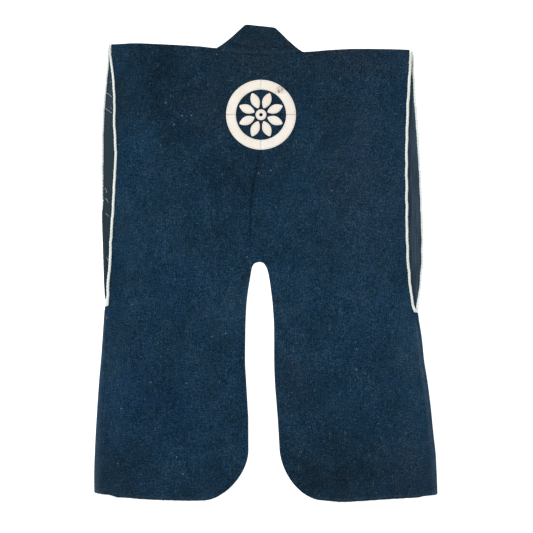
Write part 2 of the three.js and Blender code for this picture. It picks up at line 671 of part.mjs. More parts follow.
// The collar band in one piece: up the left front, over its fold beside the neck, across the nape and down.
function collarGeometry() {
  const up = new THREE.Vector3(0, 0, 1);
  const down = up.clone().negate();
  const middle = COLLAR_CLOTH / 2 + COLLAR_FOLD_RADIUS;
  const section = ({ ax, ay, fx, fy }, normal, relief) => ({
    points: NAPE_RELIEF.map(({ across, rise }) => {
      const point = new THREE.Vector3(lerp(ax, fx, across), lerp(ay, fy, across), middle + relief * rise);
      return point.addScaledVector(normal, COLLAR_FOLD_RADIUS);
    }),
    normals: NAPE_RELIEF.map(() => normal),
  });
  const half = (side) => {
    const out = new THREE.Vector3(...side.foldOut, 0);
    const fold = steps(COLLAR_FOLD_STEPS).map((s) => {
      const normal = out.clone().multiplyScalar(Math.sin(Math.PI * s));
      return section(side.band[0], normal.addScaledVector(up, Math.cos(Math.PI * s)), 0);
    });
    return [...fold, ...side.band.slice(1).map((row) => section(row, down, 0))];
  };
  const freeX = through(NAPE_ROWS, "ax", "fx");
  const freeY = through(NAPE_ROWS, "ax", "fy");
  const neckColumns = (side) => backGrid(side).slice(OUTER_SHARES.length).map((column) => column[0][0]);
  const nape = [...neckColumns(LEFT), ...neckColumns(RIGHT).reverse().slice(1)].map((x) =>
    section({ ax: x, ay: neck(x) + SEAM_GAP / 2, fx: freeX(x), fy: freeY(x) }, up, 1),
  );
  const sections = [...half(LEFT).reverse(), ...nape, ...half(RIGHT)];
  return wallFrom(
    sections.map((s) => s.points),
    sections.map((s) => s.normals),
    COLLAR_CLOTH,
  );
}

const appliqueSurface = lifted(backPoint, BACK_CLOTH / 2 + SEAM_GAP + APPLIQUE_CLOTH / 2);

// A point of the applique from its angle and distance about the motif's middle.
function polar(angle, radius, sideways = 0) {
  return [
    APPLIQUE.x + radius * Math.sin(angle) + sideways * Math.cos(angle),
    APPLIQUE.y + radius * Math.cos(angle) - sideways * Math.sin(angle),
  ];
}

function ringArcGeometry(index) {
  const span = 360 / RING_ARCS;
  const from = degToRad(span * index + ARC_GAP_DEG / 2);
  const to = degToRad(span * (index + 1) - ARC_GAP_DEG / 2);
  const grid = steps(ARC_STEPS).map((s) => [RING_INNER, RING_OUTER].map((r) => polar(lerp(from, to, s), r)));
  return wall(grid, appliqueSurface, APPLIQUE_CLOTH);
}

function leafGeometry(index) {
  const angle = degToRad((360 / LEAVES) * (index + 0.5));
  const grid = steps(LEAF_STEPS).map((s) => {
    const half = lerp(LEAF_TIP_HALF_WIDTH, LEAF_HALF_WIDTH, Math.sin(Math.PI * s) ** LEAF_FULLNESS);
    return [-half, half].map((sideways) => polar(angle, lerp(LEAF_FROM, LEAF_TO, s), sideways));
  });
  return wall(grid, appliqueSurface, APPLIQUE_CLOTH);
}

function discGeometry() {
  const shape = new THREE.Shape().absarc(0, 0, DISC_OUTER, 0, 2 * Math.PI);
  shape.holes.push(new THREE.Path().absarc(0, 0, DISC_INNER, 0, 2 * Math.PI));
  const options = { depth: APPLIQUE_CLOTH, bevelEnabled: false, curveSegments: 9 };
  const geometry = new THREE.ExtrudeGeometry(shape, options);
  const seat = appliqueSurface(APPLIQUE.x, APPLIQUE.y);
  return geometry.translate(seat.x, seat.y, seat.z - APPLIQUE_CLOTH / 2);
}

const indigo = new THREE.MeshStandardMaterial({ color: 0x1c3244, roughness: 0.95, metalness: 0 });
const lining = new THREE.MeshStandardMaterial({ color: 0x2f3b45, roughness: 0.9, metalness: 0 });
const cordWhite = new THREE.MeshStandardMaterial({ color: 0xe9eeea, roughness: 0.85, metalness: 0 });
const cream = new THREE.MeshStandardMaterial({ color: 0xf2ebdf, roughness: 0.9, metalness: 0 });

const jinbaori = new THREE.Group();
function add(name, geometry, material) {
  const mesh = new THREE.Mesh(geometry, material);
  mesh.name = name;
  jinbaori.add(mesh);
}

for (const side of SIDES) {
  add(`back_${side.name}`, wall(backGrid(side), backPoint, BACK_CLOTH), indigo);
  const front = frontGrid(side, frontColumns(side), (y) => frontEdge(side, y), OUTER_SETBACK);
  add(`front_${side.name}`, wall(front, frontPoint(side), FRONT_CLOTH), indigo);
  const inside = frontGrid(side, liningColumns, (y) => liningEnd(side, y), LINING_SETBACK);
  add(`lining_${side.name}`, wall(inside, liningPoint, LINING_CLOTH), lining);
  add(`armhole_cord_${side.name}`, cordGeometry(side), cordWhite);
}
add("collar", collarGeometry(), indigo);
for (let i = 0; i < RING_ARCS; i += 1) add(`applique_ring_${i + 1}`, ringArcGeometry(i), cream);
for (let i = 0; i < LEAVES; i += 1) add(`applique_leaf_${i + 1}`, leafGeometry(i), cream);
add("applique_disc", discGeometry(), cream);

export default jinbaori;
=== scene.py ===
# A jinbaori laid flat with its back upwards, dressed for rendering in Blender 4.5.
# Shapes are worked out in millimetres, as on the garment's pattern, and each mesh is made in metres.
# +X runs to the wearer's right side, +Y towards the collar and +Z up from the floor.
import math

import bpy
import numpy as np
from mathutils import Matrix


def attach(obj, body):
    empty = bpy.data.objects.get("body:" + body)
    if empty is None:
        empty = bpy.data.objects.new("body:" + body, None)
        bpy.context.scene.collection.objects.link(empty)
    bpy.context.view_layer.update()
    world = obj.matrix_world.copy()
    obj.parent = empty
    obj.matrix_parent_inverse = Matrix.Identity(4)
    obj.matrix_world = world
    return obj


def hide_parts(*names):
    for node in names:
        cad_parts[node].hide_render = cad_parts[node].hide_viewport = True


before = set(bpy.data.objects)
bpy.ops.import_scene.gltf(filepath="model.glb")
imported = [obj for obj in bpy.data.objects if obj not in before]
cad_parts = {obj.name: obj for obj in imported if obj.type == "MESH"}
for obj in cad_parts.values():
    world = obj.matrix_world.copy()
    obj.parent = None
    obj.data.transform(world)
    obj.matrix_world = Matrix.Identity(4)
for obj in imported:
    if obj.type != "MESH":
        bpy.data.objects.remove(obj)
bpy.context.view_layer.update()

MM = 0.001

# The camera looks straight down, with the photograph's scale and middle
PIXELS = 533
PIXEL_SIZE = 1.95
VIEW_MIDDLE = (1.6, -5.8)
CAMERA_HEIGHT = 4000
SENSOR_WIDTH = 36.0

FLOOR_SIZE = 9000
FLOOR_BELOW = 0.4

WORLD_LIGHT = 0.72


def add_camera():
    data = bpy.data.cameras.new("camera")
    data.sensor_width = SENSOR_WIDTH
    data.lens = SENSOR_WIDTH * CAMERA_HEIGHT / (PIXELS * PIXEL_SIZE)
    data.clip_end = 50
    camera = bpy.data.objects.new("camera", data)
    camera.location = (VIEW_MIDDLE[0] * MM, VIEW_MIDDLE[1] * MM, CAMERA_HEIGHT * MM)
    bpy.context.collection.objects.link(camera)
    bpy.context.scene.camera = camera


def add_area_light(name, place, aim, size, power):
    data = bpy.data.lights.new(name, "AREA")
    data.shape = "DISK"
    data.size = size
    data.energy = power
    light = bpy.data.objects.new(name, data)
    light.location = place
    direction = np.array(aim, float) - np.array(place, float)
    across = math.atan2(direction[1], direction[0])
    drop = math.atan2(math.hypot(direction[0], direction[1]), -direction[2])
    light.rotation_euler = (0, -drop, across)
    bpy.context.collection.objects.link(light)


def add_world(strength):
    world = bpy.data.worlds.new("studio")
    world.use_nodes = True
    background = world.node_tree.nodes["Background"]
    background.inputs["Color"].default_value = (1.0, 1.0, 1.0, 1)
    background.inputs["Strength"].default_value = strength
    bpy.context.scene.world = world


add_camera()
add_world(WORLD_LIGHT)
add_area_light("key", place=(-2.4, 2.0, 2.1), aim=(0, 0, 0), size=1.4, power=95)
add_area_light("fill", place=(2.6, -1.2, 2.4), aim=(0, 0, 0), size=2.2, power=26)
bpy.context.scene.view_settings.view_transform = "Standard"


# Numbers and smooth functions

def smoothstep(value, low, high):
    t = np.clip((value - low) / (high - low), 0, 1)
    return t * t * (3 - 2 * t)


def lerp(start, end, share):
    return start + (end - start) * share


def bell(distance, half):
    """1 at no distance, soft either side, and about a third at the half width."""
    return np.exp(-((distance / half) ** 2))


def ripples(place, settings):
    """A wave along a seam, with a length that wanders."""
    wander = settings["wander"] * np.sin(place / settings["wander_length"])
    return np.sin(2 * math.pi * place / settings["length"] + wander)


def through(points):
    """A smooth function through (key, value) points, with no overshoot between them."""
    keys, values = np.array(sorted(points), float).T
    secants = np.diff(values) / np.diff(keys)
    before, after = secants[:-1], secants[1:]
    product = before * after
    total = np.where(product > 0, before + after, 1)
    inner = np.where(product > 0, 2 * product / total, 0)
    slopes = np.concatenate([secants[:1], inner, secants[-1:]])

    def value_at(key):
        key = np.clip(key, keys[0], keys[-1])
        i = np.clip(np.searchsorted(keys, key, side="right") - 1, 0, len(keys) - 2)
        span = keys[i + 1] - keys[i]
        t = (key - keys[i]) / span
        u = 1 - t
        return (
            values[i] * (1 + 2 * t) * u * u
            + slopes[i] * span * t * u * u
            + values[i + 1] * (3 - 2 * t) * t * t
            - slopes[i + 1] * span * t * t * u
        )

    return value_at


def graded_shares(length, fine, coarse, fine_at_end=False):
    """Shares from 0 to 1 in steps that start fine, grow to coarse and, if asked, end fine again."""
    growth = 0.3
    places = [0.0]
    while places[-1] < length:
        past = places[-1]
        left = length - past if fine_at_end else length
        step = min(coarse, fine + growth * past, fine + growth * max(left, 0))
        places.append(past + step)
    return np.array(places) / places[-1]


def waves(seed, count, along_x, along_y):
    """An uneven field of about -1 to 1: summed waves, of lengths from the two ranges, in mm."""
    draw = np.random.default_rng(seed)
    x_lengths = np.exp(draw.uniform(math.log(along_x[0]), math.log(along_x[1]), count))
    y_lengths = np.exp(draw.uniform(math.log(along_y[0]), math.log(along_y[1]), count))
    y_lengths = y_lengths * draw.choice([-1, 1], count)
    phases = draw.uniform(0, 2 * math.pi, count)

    def height(x, y):
        total = sum(
            np.sin(2 * math.pi * (x / lx + y / ly) + phase)
            for lx, ly, phase in zip(x_lengths, y_lengths, phases)
        )
        return total / math.sqrt(2 * count)

    return height


# The garment's pattern, as its solids have it

SEAM_GAP = 0.3
SEAM_OVERLAP = 0.1  # the dressed pieces close their seams by this much
BACK_CLOTH = 2.2
FRONT_CLOTH = 1.5
LINING_CLOTH = 0.9
COLLAR_CLOTH = 3.0
APPLIQUE_CLOTH = 1.2
CORD_RADIUS = 2.8

LINING_MIDDLE = FRONT_CLOTH + SEAM_GAP + LINING_CLOTH / 2
LINING_TOP = LINING_MIDDLE + LINING_CLOTH / 2
BACK_REST = 3.3  # height of the back's underside where it lies on the linings
SHOULDER_FOLD_RADIUS = BACK_REST / 2
SIDE_FOLD_RADIUS = (BACK_REST + BACK_CLOTH - FRONT_CLOTH) / 2
COLLAR_FOLD_RADIUS = 1.7
SHOULDER_INSET = SHOULDER_FOLD_RADIUS + BACK_CLOTH / 2
SIDE_INSET = SIDE_FOLD_RADIUS + FRONT_CLOTH / 2
CORD_SEAT = CORD_RADIUS + SEAM_GAP

SHOULDER_WRAP = 12  # how far the back comes over onto the front, growing from the neck
SHOULDER_LENGTH = 205
NECK_CORNER = 3
SIDE_RETURN = 10  # how far the fronts come onto the back
# A front's hem lies above the back's, and a front and its lining stop short of the fold and the hem
FRONT_HEM_RISE = {"side": 0.3, "inside": 14}
OUTER_SETBACK = {"top": 0.8, "hem": 0}
LINING_SETBACK = {"top": 3, "hem": 12}
# Over its last stretch the back comes down to the floor, but not beside the side folds
HEM_DROP = 10
HEM_SIDE = (16, 60)
VENT_CROWN_Y = 3.7
SIDE_HEM_X = 325
CORD_LOW = CORD_RADIUS + 0.2
# The collar band's free edge rounds off towards its foot
BAND_FOOT = {"width": 46, "height": 88}
BAND_FOOT_ROWS = [(20, -385), (40, -410), (60, -430), (80, -443), (86, -448)]  # turn in degrees, y

# Middle of the back: level, then the left half's and the right half's edge
CENTRE_ROWS = [
    (407, -7.1, -7.1), (319, -9.1, -9.1), (222, -12.0, -12.0), (202, -14.0, -14.0),
    (143, -25.7, -25.7), (93, -29.4, -29.4), (50, -30.4, -30.4), (22, -27.5, -27.5),
    (9, -20.0, -20.0), (VENT_CROWN_Y, -12.2, -12.2), (1.5, -19.4, -5.6), (-2.3, -24.3, -1.9),
    (-10, -27.3, 2.4), (-27, -30.2, 6.6), (-52, -34.4, 10.2), (-83, -37.8, 13.7),
    (-130, -39.7, 16.3), (-188, -40.3, 16.4), (-227, -38.3, 17.6), (-274, -35.6, 21.1),
    (-305, -34.0, 23.5), (-356, -33.8, 26.6),
]
SHOULDER_ROWS = [
    (-301.6, 427.3), (-252.8, 429.5), (-206, 427.7), (-128, 423.2), (-96.1, 419.9),
    (74.2, 412.7), (127.4, 416.4), (180.1, 418.6), (240.5, 418.0), (262, 417.5), (281.1, 416.7),
]
NECK_ROWS = [
    (-96.1, 419.9), (-82.6, 416.0), (-58.2, 409.6), (-29.6, 407.2),
    (10.4, 407.2), (53.3, 409.6), (74.2, 412.7),
]
HEM_ROWS = [
    (-334.5, -445.0), (-331.4, -447.2), (-326.6, -448.3), (-316.6, -449.7), (-306.7, -450.7),
    (-296.7, -453.4), (-288.7, -456.0), (-268.4, -457.0), (-252.8, -458.6), (-201.6, -461.4),
    (-141.1, -462.6), (-118.7, -462.2), (104, -461.8), (148.9, -465.0), (195.7, -462.6),
    (241.9, -459.6), (281.7, -457.2), (295.6, -456.3), (304, -454.4), (307, -453.2),
    (321.4, -452.2), (331.4, -450.9), (334.0, -449.2), (334.9, -447.2),
]
# Free edge of the collar at the nape, by the place on its sewn edge: sewn x, free x, free y
NAPE_ROWS = [
    (-94.2, -38.8, 465.4), (-77, -30.9, 465.1), (-57, -22, 464.0), (-34, -13, 463.1), (-10, -4, 462.2),
    (14, 4, 461.4), (38, 10.5, 460.6), (57, 14.1, 460.1), (72.1, 17.2, 459.9),
]
# Height of the nape's relief, by the share of the way across it
NAPE_RELIEF = [
    (0, 0.1), (0.09, 0.9), (0.16, 0.5), (0.25, -0.95), (0.32, 0.2), (0.4, 0.75), (0.5, 0.8),
    (0.62, 0.55), (0.78, 0.6), (1, 0),
]
# Painted light on the nape by the same share: above 0 a painted highlight along its seam's puckers, below 0
# painted shade in its crease
NAPE_HIGHLIGHT_AND_SHADE = [(0, 0), (0.05, 0.15), (0.1, 0.1), (0.17, -0.04), (0.25, -0.2), (0.32, 0), (1, 0)]
# How far the band's fold at the shoulder bows inwards, by the same share, and how far from it that fades
FOLD_BOW = [(0, 0), (0.14, 1.3), (0.3, 2.0), (0.52, 2.0), (0.72, 1.0), (1, 0)]
BOW_FADES = 45
# The round of each skirt's inner corner: 1 is a quarter ellipse, and more cuts it flatter
CORNER_BEND = {"left": 1.17, "right": 1.1}
# Soft ridges in the back: x0, y0, x1, y1, height and half width
RIDGES = [
    (-29, 190, -46, 40, 1.3, 13), (-8, 185, -14, 45, 1.2, 15), (66, 170, 120, 262, 1.7, 13),
    (108, 140, 196, 268, 1.5, 17), (84, 118, 86, 40, 1.2, 14), (258, -420, 306, -374, 1.7, 15),
    (190, -400, 292, -346, 1.4, 19), (240, -212, 300, -200, 1.1, 13), (-284, -402, -170, -424, 1.3, 18),
    (-236, -60, -226, -330, 1.0, 24), (-190, 250, -216, 40, 1.0, 26), (214, 60, 228, -150, 1.0, 24),
    (-110, 100, -98, -260, 0.9, 22), (120, -60, 112, -300, 0.9, 24),
]

shoulder = through(SHOULDER_ROWS)
neck = through(NECK_ROWS)
hem = through(HEM_ROWS)


class Side:
    """One side of the garment: its outline, armhole, middle edge and hidden collar band."""

    def __init__(
        self, name, sign, turn_y, top_y, corner_start, armhole, cord_radii, side_seam, band, fold_out
    ):
        self.name = name
        self.sign = sign
        self.neck_x, self.neck_y = NECK_ROWS[0] if sign < 0 else NECK_ROWS[-1]
        self.armhole_foot = side_seam[0]
        self.turn_y = turn_y
        self.top_y = top_y
        self.corner_start = corner_start
        self.levels = [y for y, _, _ in armhole]
        self.outline = through([(y, edge) for y, edge, _ in armhole] + side_seam[1])
        self.cord = through([(y, cord) for y, _, cord in armhole])
        self.front_cord, self.back_cord = (through(radii) for radii in cord_radii)
        column = 1 if sign < 0 else 2
        self.centre = through([(row[0], row[column]) for row in CENTRE_ROWS])
        corner_ax, _, corner_fx, corner_fy = band[-1]
        feet = [
            (
                corner_ax,
                ay,
                corner_fx + sign * BAND_FOOT["width"] * (1 - math.cos(math.radians(turn))),
                corner_fy - BAND_FOOT["height"] * math.sin(math.radians(turn)),
            )
            for turn, ay in BAND_FOOT_ROWS
        ]
        self.band = band + feet
        self.band_sewn = through([(ay, ax) for ax, ay, _, _ in self.band])
        self.band_free = through([(fy, fx) for _, _, fx, fy in self.band])
        self.fold_out = np.array(fold_out)


# armhole: level, outline and middle of the cord on the back's edge. cord_radii: level and radius of the
# cord on the front's edge, then on the back's. side_seam: the armhole's foot, then level and outline.
# band: x and y on the edge sewn to the front, then x and y on the free edge.
LEFT = Side(
    name="left",
    sign=-1,
    turn_y=-78.7,
    top_y=423.2,
    corner_start=-367.5,
    armhole=[
        (427, -307.4, -304.5), (397, -309.4, -301.6), (377, -311.3, -298.8), (340, -315.0, -295.6),
        (300, -318.2, -294.4), (278, -319.4, -295.2), (241, -320.6, -293.0), (206, -321.0, -292.2),
        (167, -321.1, -294.4), (118, -319.8, -296.7), (81, -319.1, -299.1), (44, -317.9, -301.6),
        (1, -316.5, -303.2), (-20, -315.9, -305.3), (-42, -315.1, -306.9), (-60, -313.9, -307.7),
        (-75, -313.4, -307.8),
    ],
    cord_radii=[
        [
            (-79, 2.2), (-72, 1.8), (-60, 1.25), (50, 1.25), (104, 1.8), (163, 2.3), (221, 2.65),
            (260, 2.35), (320, 2.5), (421, 2.4),
        ],
        [(-79, 3.0), (-40, 2.85), (100, 2.7), (240, 2.6), (300, 2.35), (421, 2.45)],
    ],
    side_seam=(
        -84.4,
        [
            (-95, -314.6), (-149, -318.2), (-188, -321.1), (-227, -324.6), (-293, -329.1),
            (-352, -332.4), (-416, -334.5), (-447, -334.2),
        ],
    ),
    band=[
        (-94.2, 417.4, -37.6, 463.2), (-95.5, 404, -41, 436), (-99.5, 386, -46.5, 404),
        (-104.5, 355, -50.5, 364), (-110.5, 280, -58.5, 284), (-114.5, 200, -63.5, 201),
        (-116.5, 120, -65.5, 120), (-116.5, 0, -66.5, 0), (-117, -130, -67.5, -130),
        (-118, -260, -68, -260), (-118, -350, -68, -360),
    ],
    fold_out=(-0.609, 0.793, 0),
)
RIGHT = Side(
    name="right",
    sign=1,
    turn_y=-90,
    top_y=409.6,
    corner_start=-356,
    armhole=[
        (415, 287.9, 283.4), (397, 289.2, 282.2), (377, 290.2, 280.9), (350, 291.8, 279.3),
        (319, 293.6, 277.4), (282, 296.5, 276.0), (247, 299.0, 275.0), (212, 301.0, 274.2),
        (190, 302.5, 274.2), (118, 305.5, 274.7), (71, 307.2, 274.9), (36, 307.8, 275.9),
        (1, 307.2, 277.3), (-23, 305.2, 279.4), (-48, 302.9, 281.8), (-71, 300.0, 285.2),
        (-80, 299.0, 286.4), (-86, 298.4, 288.6), (-90, 298.0, 289.9),
    ],
    cord_radii=[
        [(-89, 3.1), (-80, 2.8), (-72, 2.35), (-50, 2.05), (60, 2.3), (190, 2.3), (260, 2.45), (400, 2.3)],
        [(-89, 3.1), (-80, 2.65), (-50, 2.65), (0, 2.8), (421, 2.85)],
    ],
    side_seam=(
        -96,
        [
            (-97, 297.7), (-103, 298.0), (-112, 299.0), (-120, 300.5), (-149, 304.9), (-188, 308.8),
            (-227, 315.0), (-274, 321.2),
            (-330, 326.9), (-373, 331.6), (-410, 333.5), (-447, 334.9),
        ],
    ),
    band=[
        (72.1, 408.8, 16.8, 457.2), (74.5, 398, 24.5, 430), (79.5, 378, 32, 404),
        (88, 345, 42, 362), (100, 300, 54, 311), (114, 235, 66, 238), (125.5, 125, 74.5, 127),
        (129.5, 20, 79, 20), (129.5, -130, 79.5, -130), (129, -260, 79, -260), (129, -345, 79, -355),
    ],
    fold_out=(0.638, 0.77, 0),
)
SIDES = [LEFT, RIGHT]


# The cloth's surfaces, as points of the pattern laid out

# Between the collar's two bands the back sags to the floor: how far past a band that starts, over what
# length beside the vent and above it, where one length turns into the other, and where the sag ends
SAG_START = 12
SAG_LENGTH = {"vent": 15, "above": 45}
SAG_CHANGES = (-60, 60)
SAG_ENDS = (130, 215)
RIDGE_EBB = (12, 60)  # how far from an edge the ridges begin and have their full height
NO_FOLD = 1e6

# Creases too fine for the solids: x0, y0, x1, y1, height and half width. A trough is negative.
CREASES = [
    (60, 186, 112, 262, -0.55, 4.5), (78, 168, 132, 246, 0.5, 5), (112, 158, 190, 262, -0.5, 5),
    (128, 150, 205, 250, 0.45, 6), (96, 214, 150, 232, -0.35, 5), (76, 128, 78, 44, -0.45, 4),
    (92, 118, 96, 60, 0.35, 5), (236, -200, 306, -204, -0.6, 4), (226, -214, 296, -216, 0.4, 6),
    (184, -392, 300, -350, -0.55, 5), (196, -372, 306, -332, 0.45, 6), (254, -442, 308, -396, -0.6, 4.5),
    (240, -430, 290, -384, 0.5, 6), (268, -352, 322, -300, -0.3, 5), (-316, -392, -180, -412, -0.4, 6),
    (-300, -380, -150, -398, 0.35, 8), (-110, 392, -106, 300, -0.45, 6), (-118, 398, -116, 320, 0.3, 8),
    (-280, 360, -258, 250, 0.3, 10), (-268, 340, -246, 236, -0.3, 7), (170, 372, 236, 300, 0.3, 9),
    (178, 358, 240, 286, -0.25, 7), (-240, 40, -226, -90, -0.25, 8), (-180, -140, -196, -330, 0.3, 9),
    (-172, -150, -186, -320, -0.25, 7), (-84, -20, -70, -170, 0.3, 8), (-76, -30, -62, -160, -0.3, 6),
    (60, -40, 48, -210, 0.3, 8), (52, -50, 40, -200, -0.25, 6), (150, -180, 170, -320, -0.25, 8),
    (-52, 168, -62, 60, -0.3, 7), (10, 176, 4, 66, 0.3, 9), (16, 150, 12, 80, -0.3, 6),
    (-96, 236, -140, 170, 0.3, 9), (-90, 226, -134, 160, -0.3, 6), (-250, 150, -234, 70, 0.25, 9),
]
drape = waves(seed=3, count=22, along_x=(60, 210), along_y=(90, 420))
slack = waves(seed=5, count=20, along_x=(9, 34), along_y=(120, 900))
# The cloth's broad drape and its fine slack
DRAPE_RISE = 0.42
SLACK_RISE = 0.10
SEAM_DIP = {"depth": 0.75, "half": 2.0}
SEAM_PUCKER = {"height": 0.22, "half": 8, "length": 13, "wander": 2.2, "wander_length": 31}
HEM_PUCKER = {"height": 0.154, "half": 10, "length": 17, "wander": 2, "wander_length": 23}
RELIEF_LIMITS = (-0.9, 1.2)
HEM_WOBBLE = 0.3
hem_wobble = waves(seed=11, count=10, along_x=(5, 26), along_y=(900, 1800))


def ridge_height(ridge, x, y):
    """Height of a soft ridge or trough: round across, fading out at both ends."""
    x0, y0, x1, y1, height, half = ridge
    length = math.hypot(x1 - x0, y1 - y0)
    along = ((x - x0) * (x1 - x0) + (y - y0) * (y1 - y0)) / length
    across = ((x - x0) * (y1 - y0) - (y - y0) * (x1 - x0)) / length
    fade = smoothstep(along, -half, half) * (1 - smoothstep(along, length - half, length + half))
    return height * fade * bell(across, half)


def hem_edge(x):
    return hem(x) + HEM_WOBBLE * hem_wobble(x, 0)


def of_side(x, y, value):
    """A side's value at each place, from the left side or the right one."""
    return np.where(x < LEFT.centre(y), value(LEFT), value(RIGHT))


def back_underside(x, y):
    """Height of the back's underside: on the fronts, and down to the floor between their bands."""
    length = lerp(SAG_LENGTH["vent"], SAG_LENGTH["above"], smoothstep(y, *SAG_CHANGES))
    past_left = x - LEFT.band_free(y) - SAG_START
    past_right = RIGHT.band_free(y) - x - SAG_START
    sag = smoothstep(past_left, 0, length) * smoothstep(past_right, 0, length)
    base = BACK_REST * (1 - sag * (1 - smoothstep(y, *SAG_ENDS)))
    from_outline = of_side(x, y, lambda side: np.abs(side.outline(y) - x))
    from_vent = of_side(x, y, lambda side: np.abs(side.centre(y) - x))
    from_vent = np.where(y < VENT_CROWN_Y, from_vent, RIDGE_EBB[1])
    ease = (
        smoothstep(from_outline - SIDE_INSET - SIDE_RETURN, *RIDGE_EBB)
        * smoothstep(from_vent, 0, RIDGE_EBB[1] / 2)
        * smoothstep(y - hem(x), *RIDGE_EBB)
    )
    ridges = sum(ridge_height(ridge, x, y) for ridge in RIDGES)
    rise = ridges + DRAPE_RISE * (1 + drape(x, y)).clip(0, 2)
    hem_share = smoothstep(from_outline, *HEM_SIDE)
    return (base + rise * ease) * lerp(1, smoothstep(y - hem(x), 0, HEM_DROP), hem_share)


def back_relief(x, y):
    """What stands out or dips on the back's upper face alone: fine creases, puckers and seams."""
    creases = sum(ridge_height(crease, x, y) for crease in CREASES)
    from_seam = np.abs(of_side(x, y, lambda side: side.centre(y)) - x)
    dip = SEAM_DIP["depth"] * bell(from_seam, SEAM_DIP["half"])
    seam_puckers = SEAM_PUCKER["height"] * ripples(y, SEAM_PUCKER) * bell(from_seam, SEAM_PUCKER["half"])
    hem_puckers = HEM_PUCKER["height"] * ripples(x, HEM_PUCKER) * bell(y - hem(x), HEM_PUCKER["half"])
    at_seam = np.where(y > VENT_CROWN_Y, seam_puckers - dip, 0)
    return (creases + SLACK_RISE * slack(x, y) + at_seam + hem_puckers).clip(*RELIEF_LIMITS)


def folds_over(x):
    return (x < NECK_ROWS[0][0] - NECK_CORNER) | (x > NECK_ROWS[-1][0] + NECK_CORNER)


def back_point(x, y):
    """Middle of the back's cloth at a pattern point, folded over at the shoulder."""
    start = np.where(folds_over(x), shoulder(x) - SHOULDER_INSET, NO_FOLD)
    past = y - start
    top = back_underside(x, np.minimum(y, start)) + BACK_CLOTH / 2
    r = SHOULDER_FOLD_RADIUS
    turn = np.clip(past / r, 0, math.pi)
    beyond = np.maximum(past - math.pi * r, 0)
    return np.stack(
        [
            x,
            np.where(past > 0, start + r * np.sin(turn) - beyond, y),
            np.where(past > 0, top - r + r * np.cos(turn), top),
        ],
        axis=-1,
    )


def lining_point(side):
    return lambda x, y: np.stack([x, y, LINING_MIDDLE + roll_rise(side, x, y)], axis=-1)


# Share of the left front's edge that lies rolled over its cord, by level
ROLLED_LEFT = through([(-74, 0), (-62, 1), (80, 1), (124, 0.4), (200, 0.06), (260, 0)])
ROLL = {"height": 2.3, "flat": 9, "full": 2.5, "edge": 0.2}


def rolled(side, y):
    return ROLLED_LEFT(y) if side is LEFT else np.zeros_like(y)


def roll_rise(side, x, y):
    """How far a front and its lining rise where they roll over the cord at their edge."""
    inside = side.sign * (side.outline(y) - x)
    return ROLL["height"] * rolled(side, y) * (1 - smoothstep(inside, ROLL["full"], ROLL["flat"]))


def front_point(side):
    """A front's middle surface, folded up and back at its side."""

    def point(x, y):
        start = side.outline(y) - side.sign * SIDE_INSET
        past = np.maximum(side.sign * (x - start), 0)
        r = SIDE_FOLD_RADIUS
        turn = np.clip(past / r, 0, math.pi)
        reach = r * np.sin(turn) - np.maximum(past - math.pi * r, 0)
        height = FRONT_CLOTH / 2 + r - r * np.cos(turn) + roll_rise(side, x, y)
        return np.stack([np.where(past > 0, start + side.sign * reach, x), y, height], axis=-1)

    return point


def normal_at(point, x, y):
    step = 0.02
    along_x = point(x + step, y) - point(x - step, y)
    along_y = point(x, y + step) - point(x, y - step)
    normal = np.cross(along_x, along_y)
    return normal / np.linalg.norm(normal, axis=-1, keepdims=True)


# Meshes

def add_object(name, points, faces, material):
    mesh = bpy.data.meshes.new(name)
    mesh.from_pydata((points * MM).tolist(), [], faces)
    mesh.polygons.foreach_set("use_smooth", [True] * len(mesh.polygons))
    mesh.materials.append(material)
    mesh.update()
    piece = bpy.data.objects.new(name, mesh)
    bpy.context.collection.objects.link(piece)
    return piece


def paint_wear_and_light(piece, wear):
    """Marks how pale each point of a shell is, from wear and painted light, and below 0 how dark it is with
    painted shade, for its finish to read.
    """
    layer = piece.data.attributes.new("wear", "FLOAT", "POINT")
    layer.data.foreach_set("value", np.tile(wear.ravel(), 2))


def signed_volume(points, quads):
    a, b, c, d = (points[quads[:, k]] for k in range(4))
    first = np.einsum("ij,ij->i", a, np.cross(b, c)).sum()
    return first + np.einsum("ij,ij->i", a, np.cross(c, d)).sum()


def add_shell(name, top, bottom, material, ring=False):
    """A closed shell from the points of its two faces, [row][column]. A ring's rows join end to end."""
    rows, columns = top.shape[:2]
    count = rows * columns
    index = np.arange(count).reshape(rows, columns)
    if ring:
        index = np.vstack([index, index[:1]])
    corners = [index[:-1, :-1], index[1:, :-1], index[1:, 1:], index[:-1, 1:]]
    upper = np.stack(corners, axis=-1).reshape(-1, 4)
    borders = [index[::-1, 0], index[:, -1]]
    if not ring:
        borders += [index[0], index[-1, ::-1]]
    rims = [np.stack([b[:-1], b[1:], b[1:] + count, b[:-1] + count], axis=-1) for b in borders]
    quads = np.vstack([upper, upper[:, ::-1] + count, *rims])
    points = np.vstack([top.reshape(-1, 3), bottom.reshape(-1, 3)])
    if signed_volume(points, quads) < 0:
        quads = quads[:, ::-1]
    return add_object(name, points, quads.tolist(), material)


def edge_distance(points, ring=False):
    """How far each point of a grid lies from the grid's nearest edge, along its rows or columns."""
    distances = []
    for axis in [1] if ring else [0, 1]:
        lengths = np.linalg.norm(np.diff(points, axis=axis), axis=-1)
        pad = [(1, 0), (0, 0)] if axis == 0 else [(0, 0), (1, 0)]
        along = np.pad(np.cumsum(lengths, axis=axis), pad)
        total = along.take([-1], axis=axis)
        distances += [along, total - along]
    return np.minimum.reduce(distances)


EDGE_BLUNT = 0.03  # keeps a shell's two faces apart at its very edge


def roundness(distance, radius):
    """Share of the full thickness that a rounded edge has at a distance from it."""
    t = np.clip(distance / radius, EDGE_BLUNT, 1)
    return np.sqrt(1 - (1 - t) ** 2)


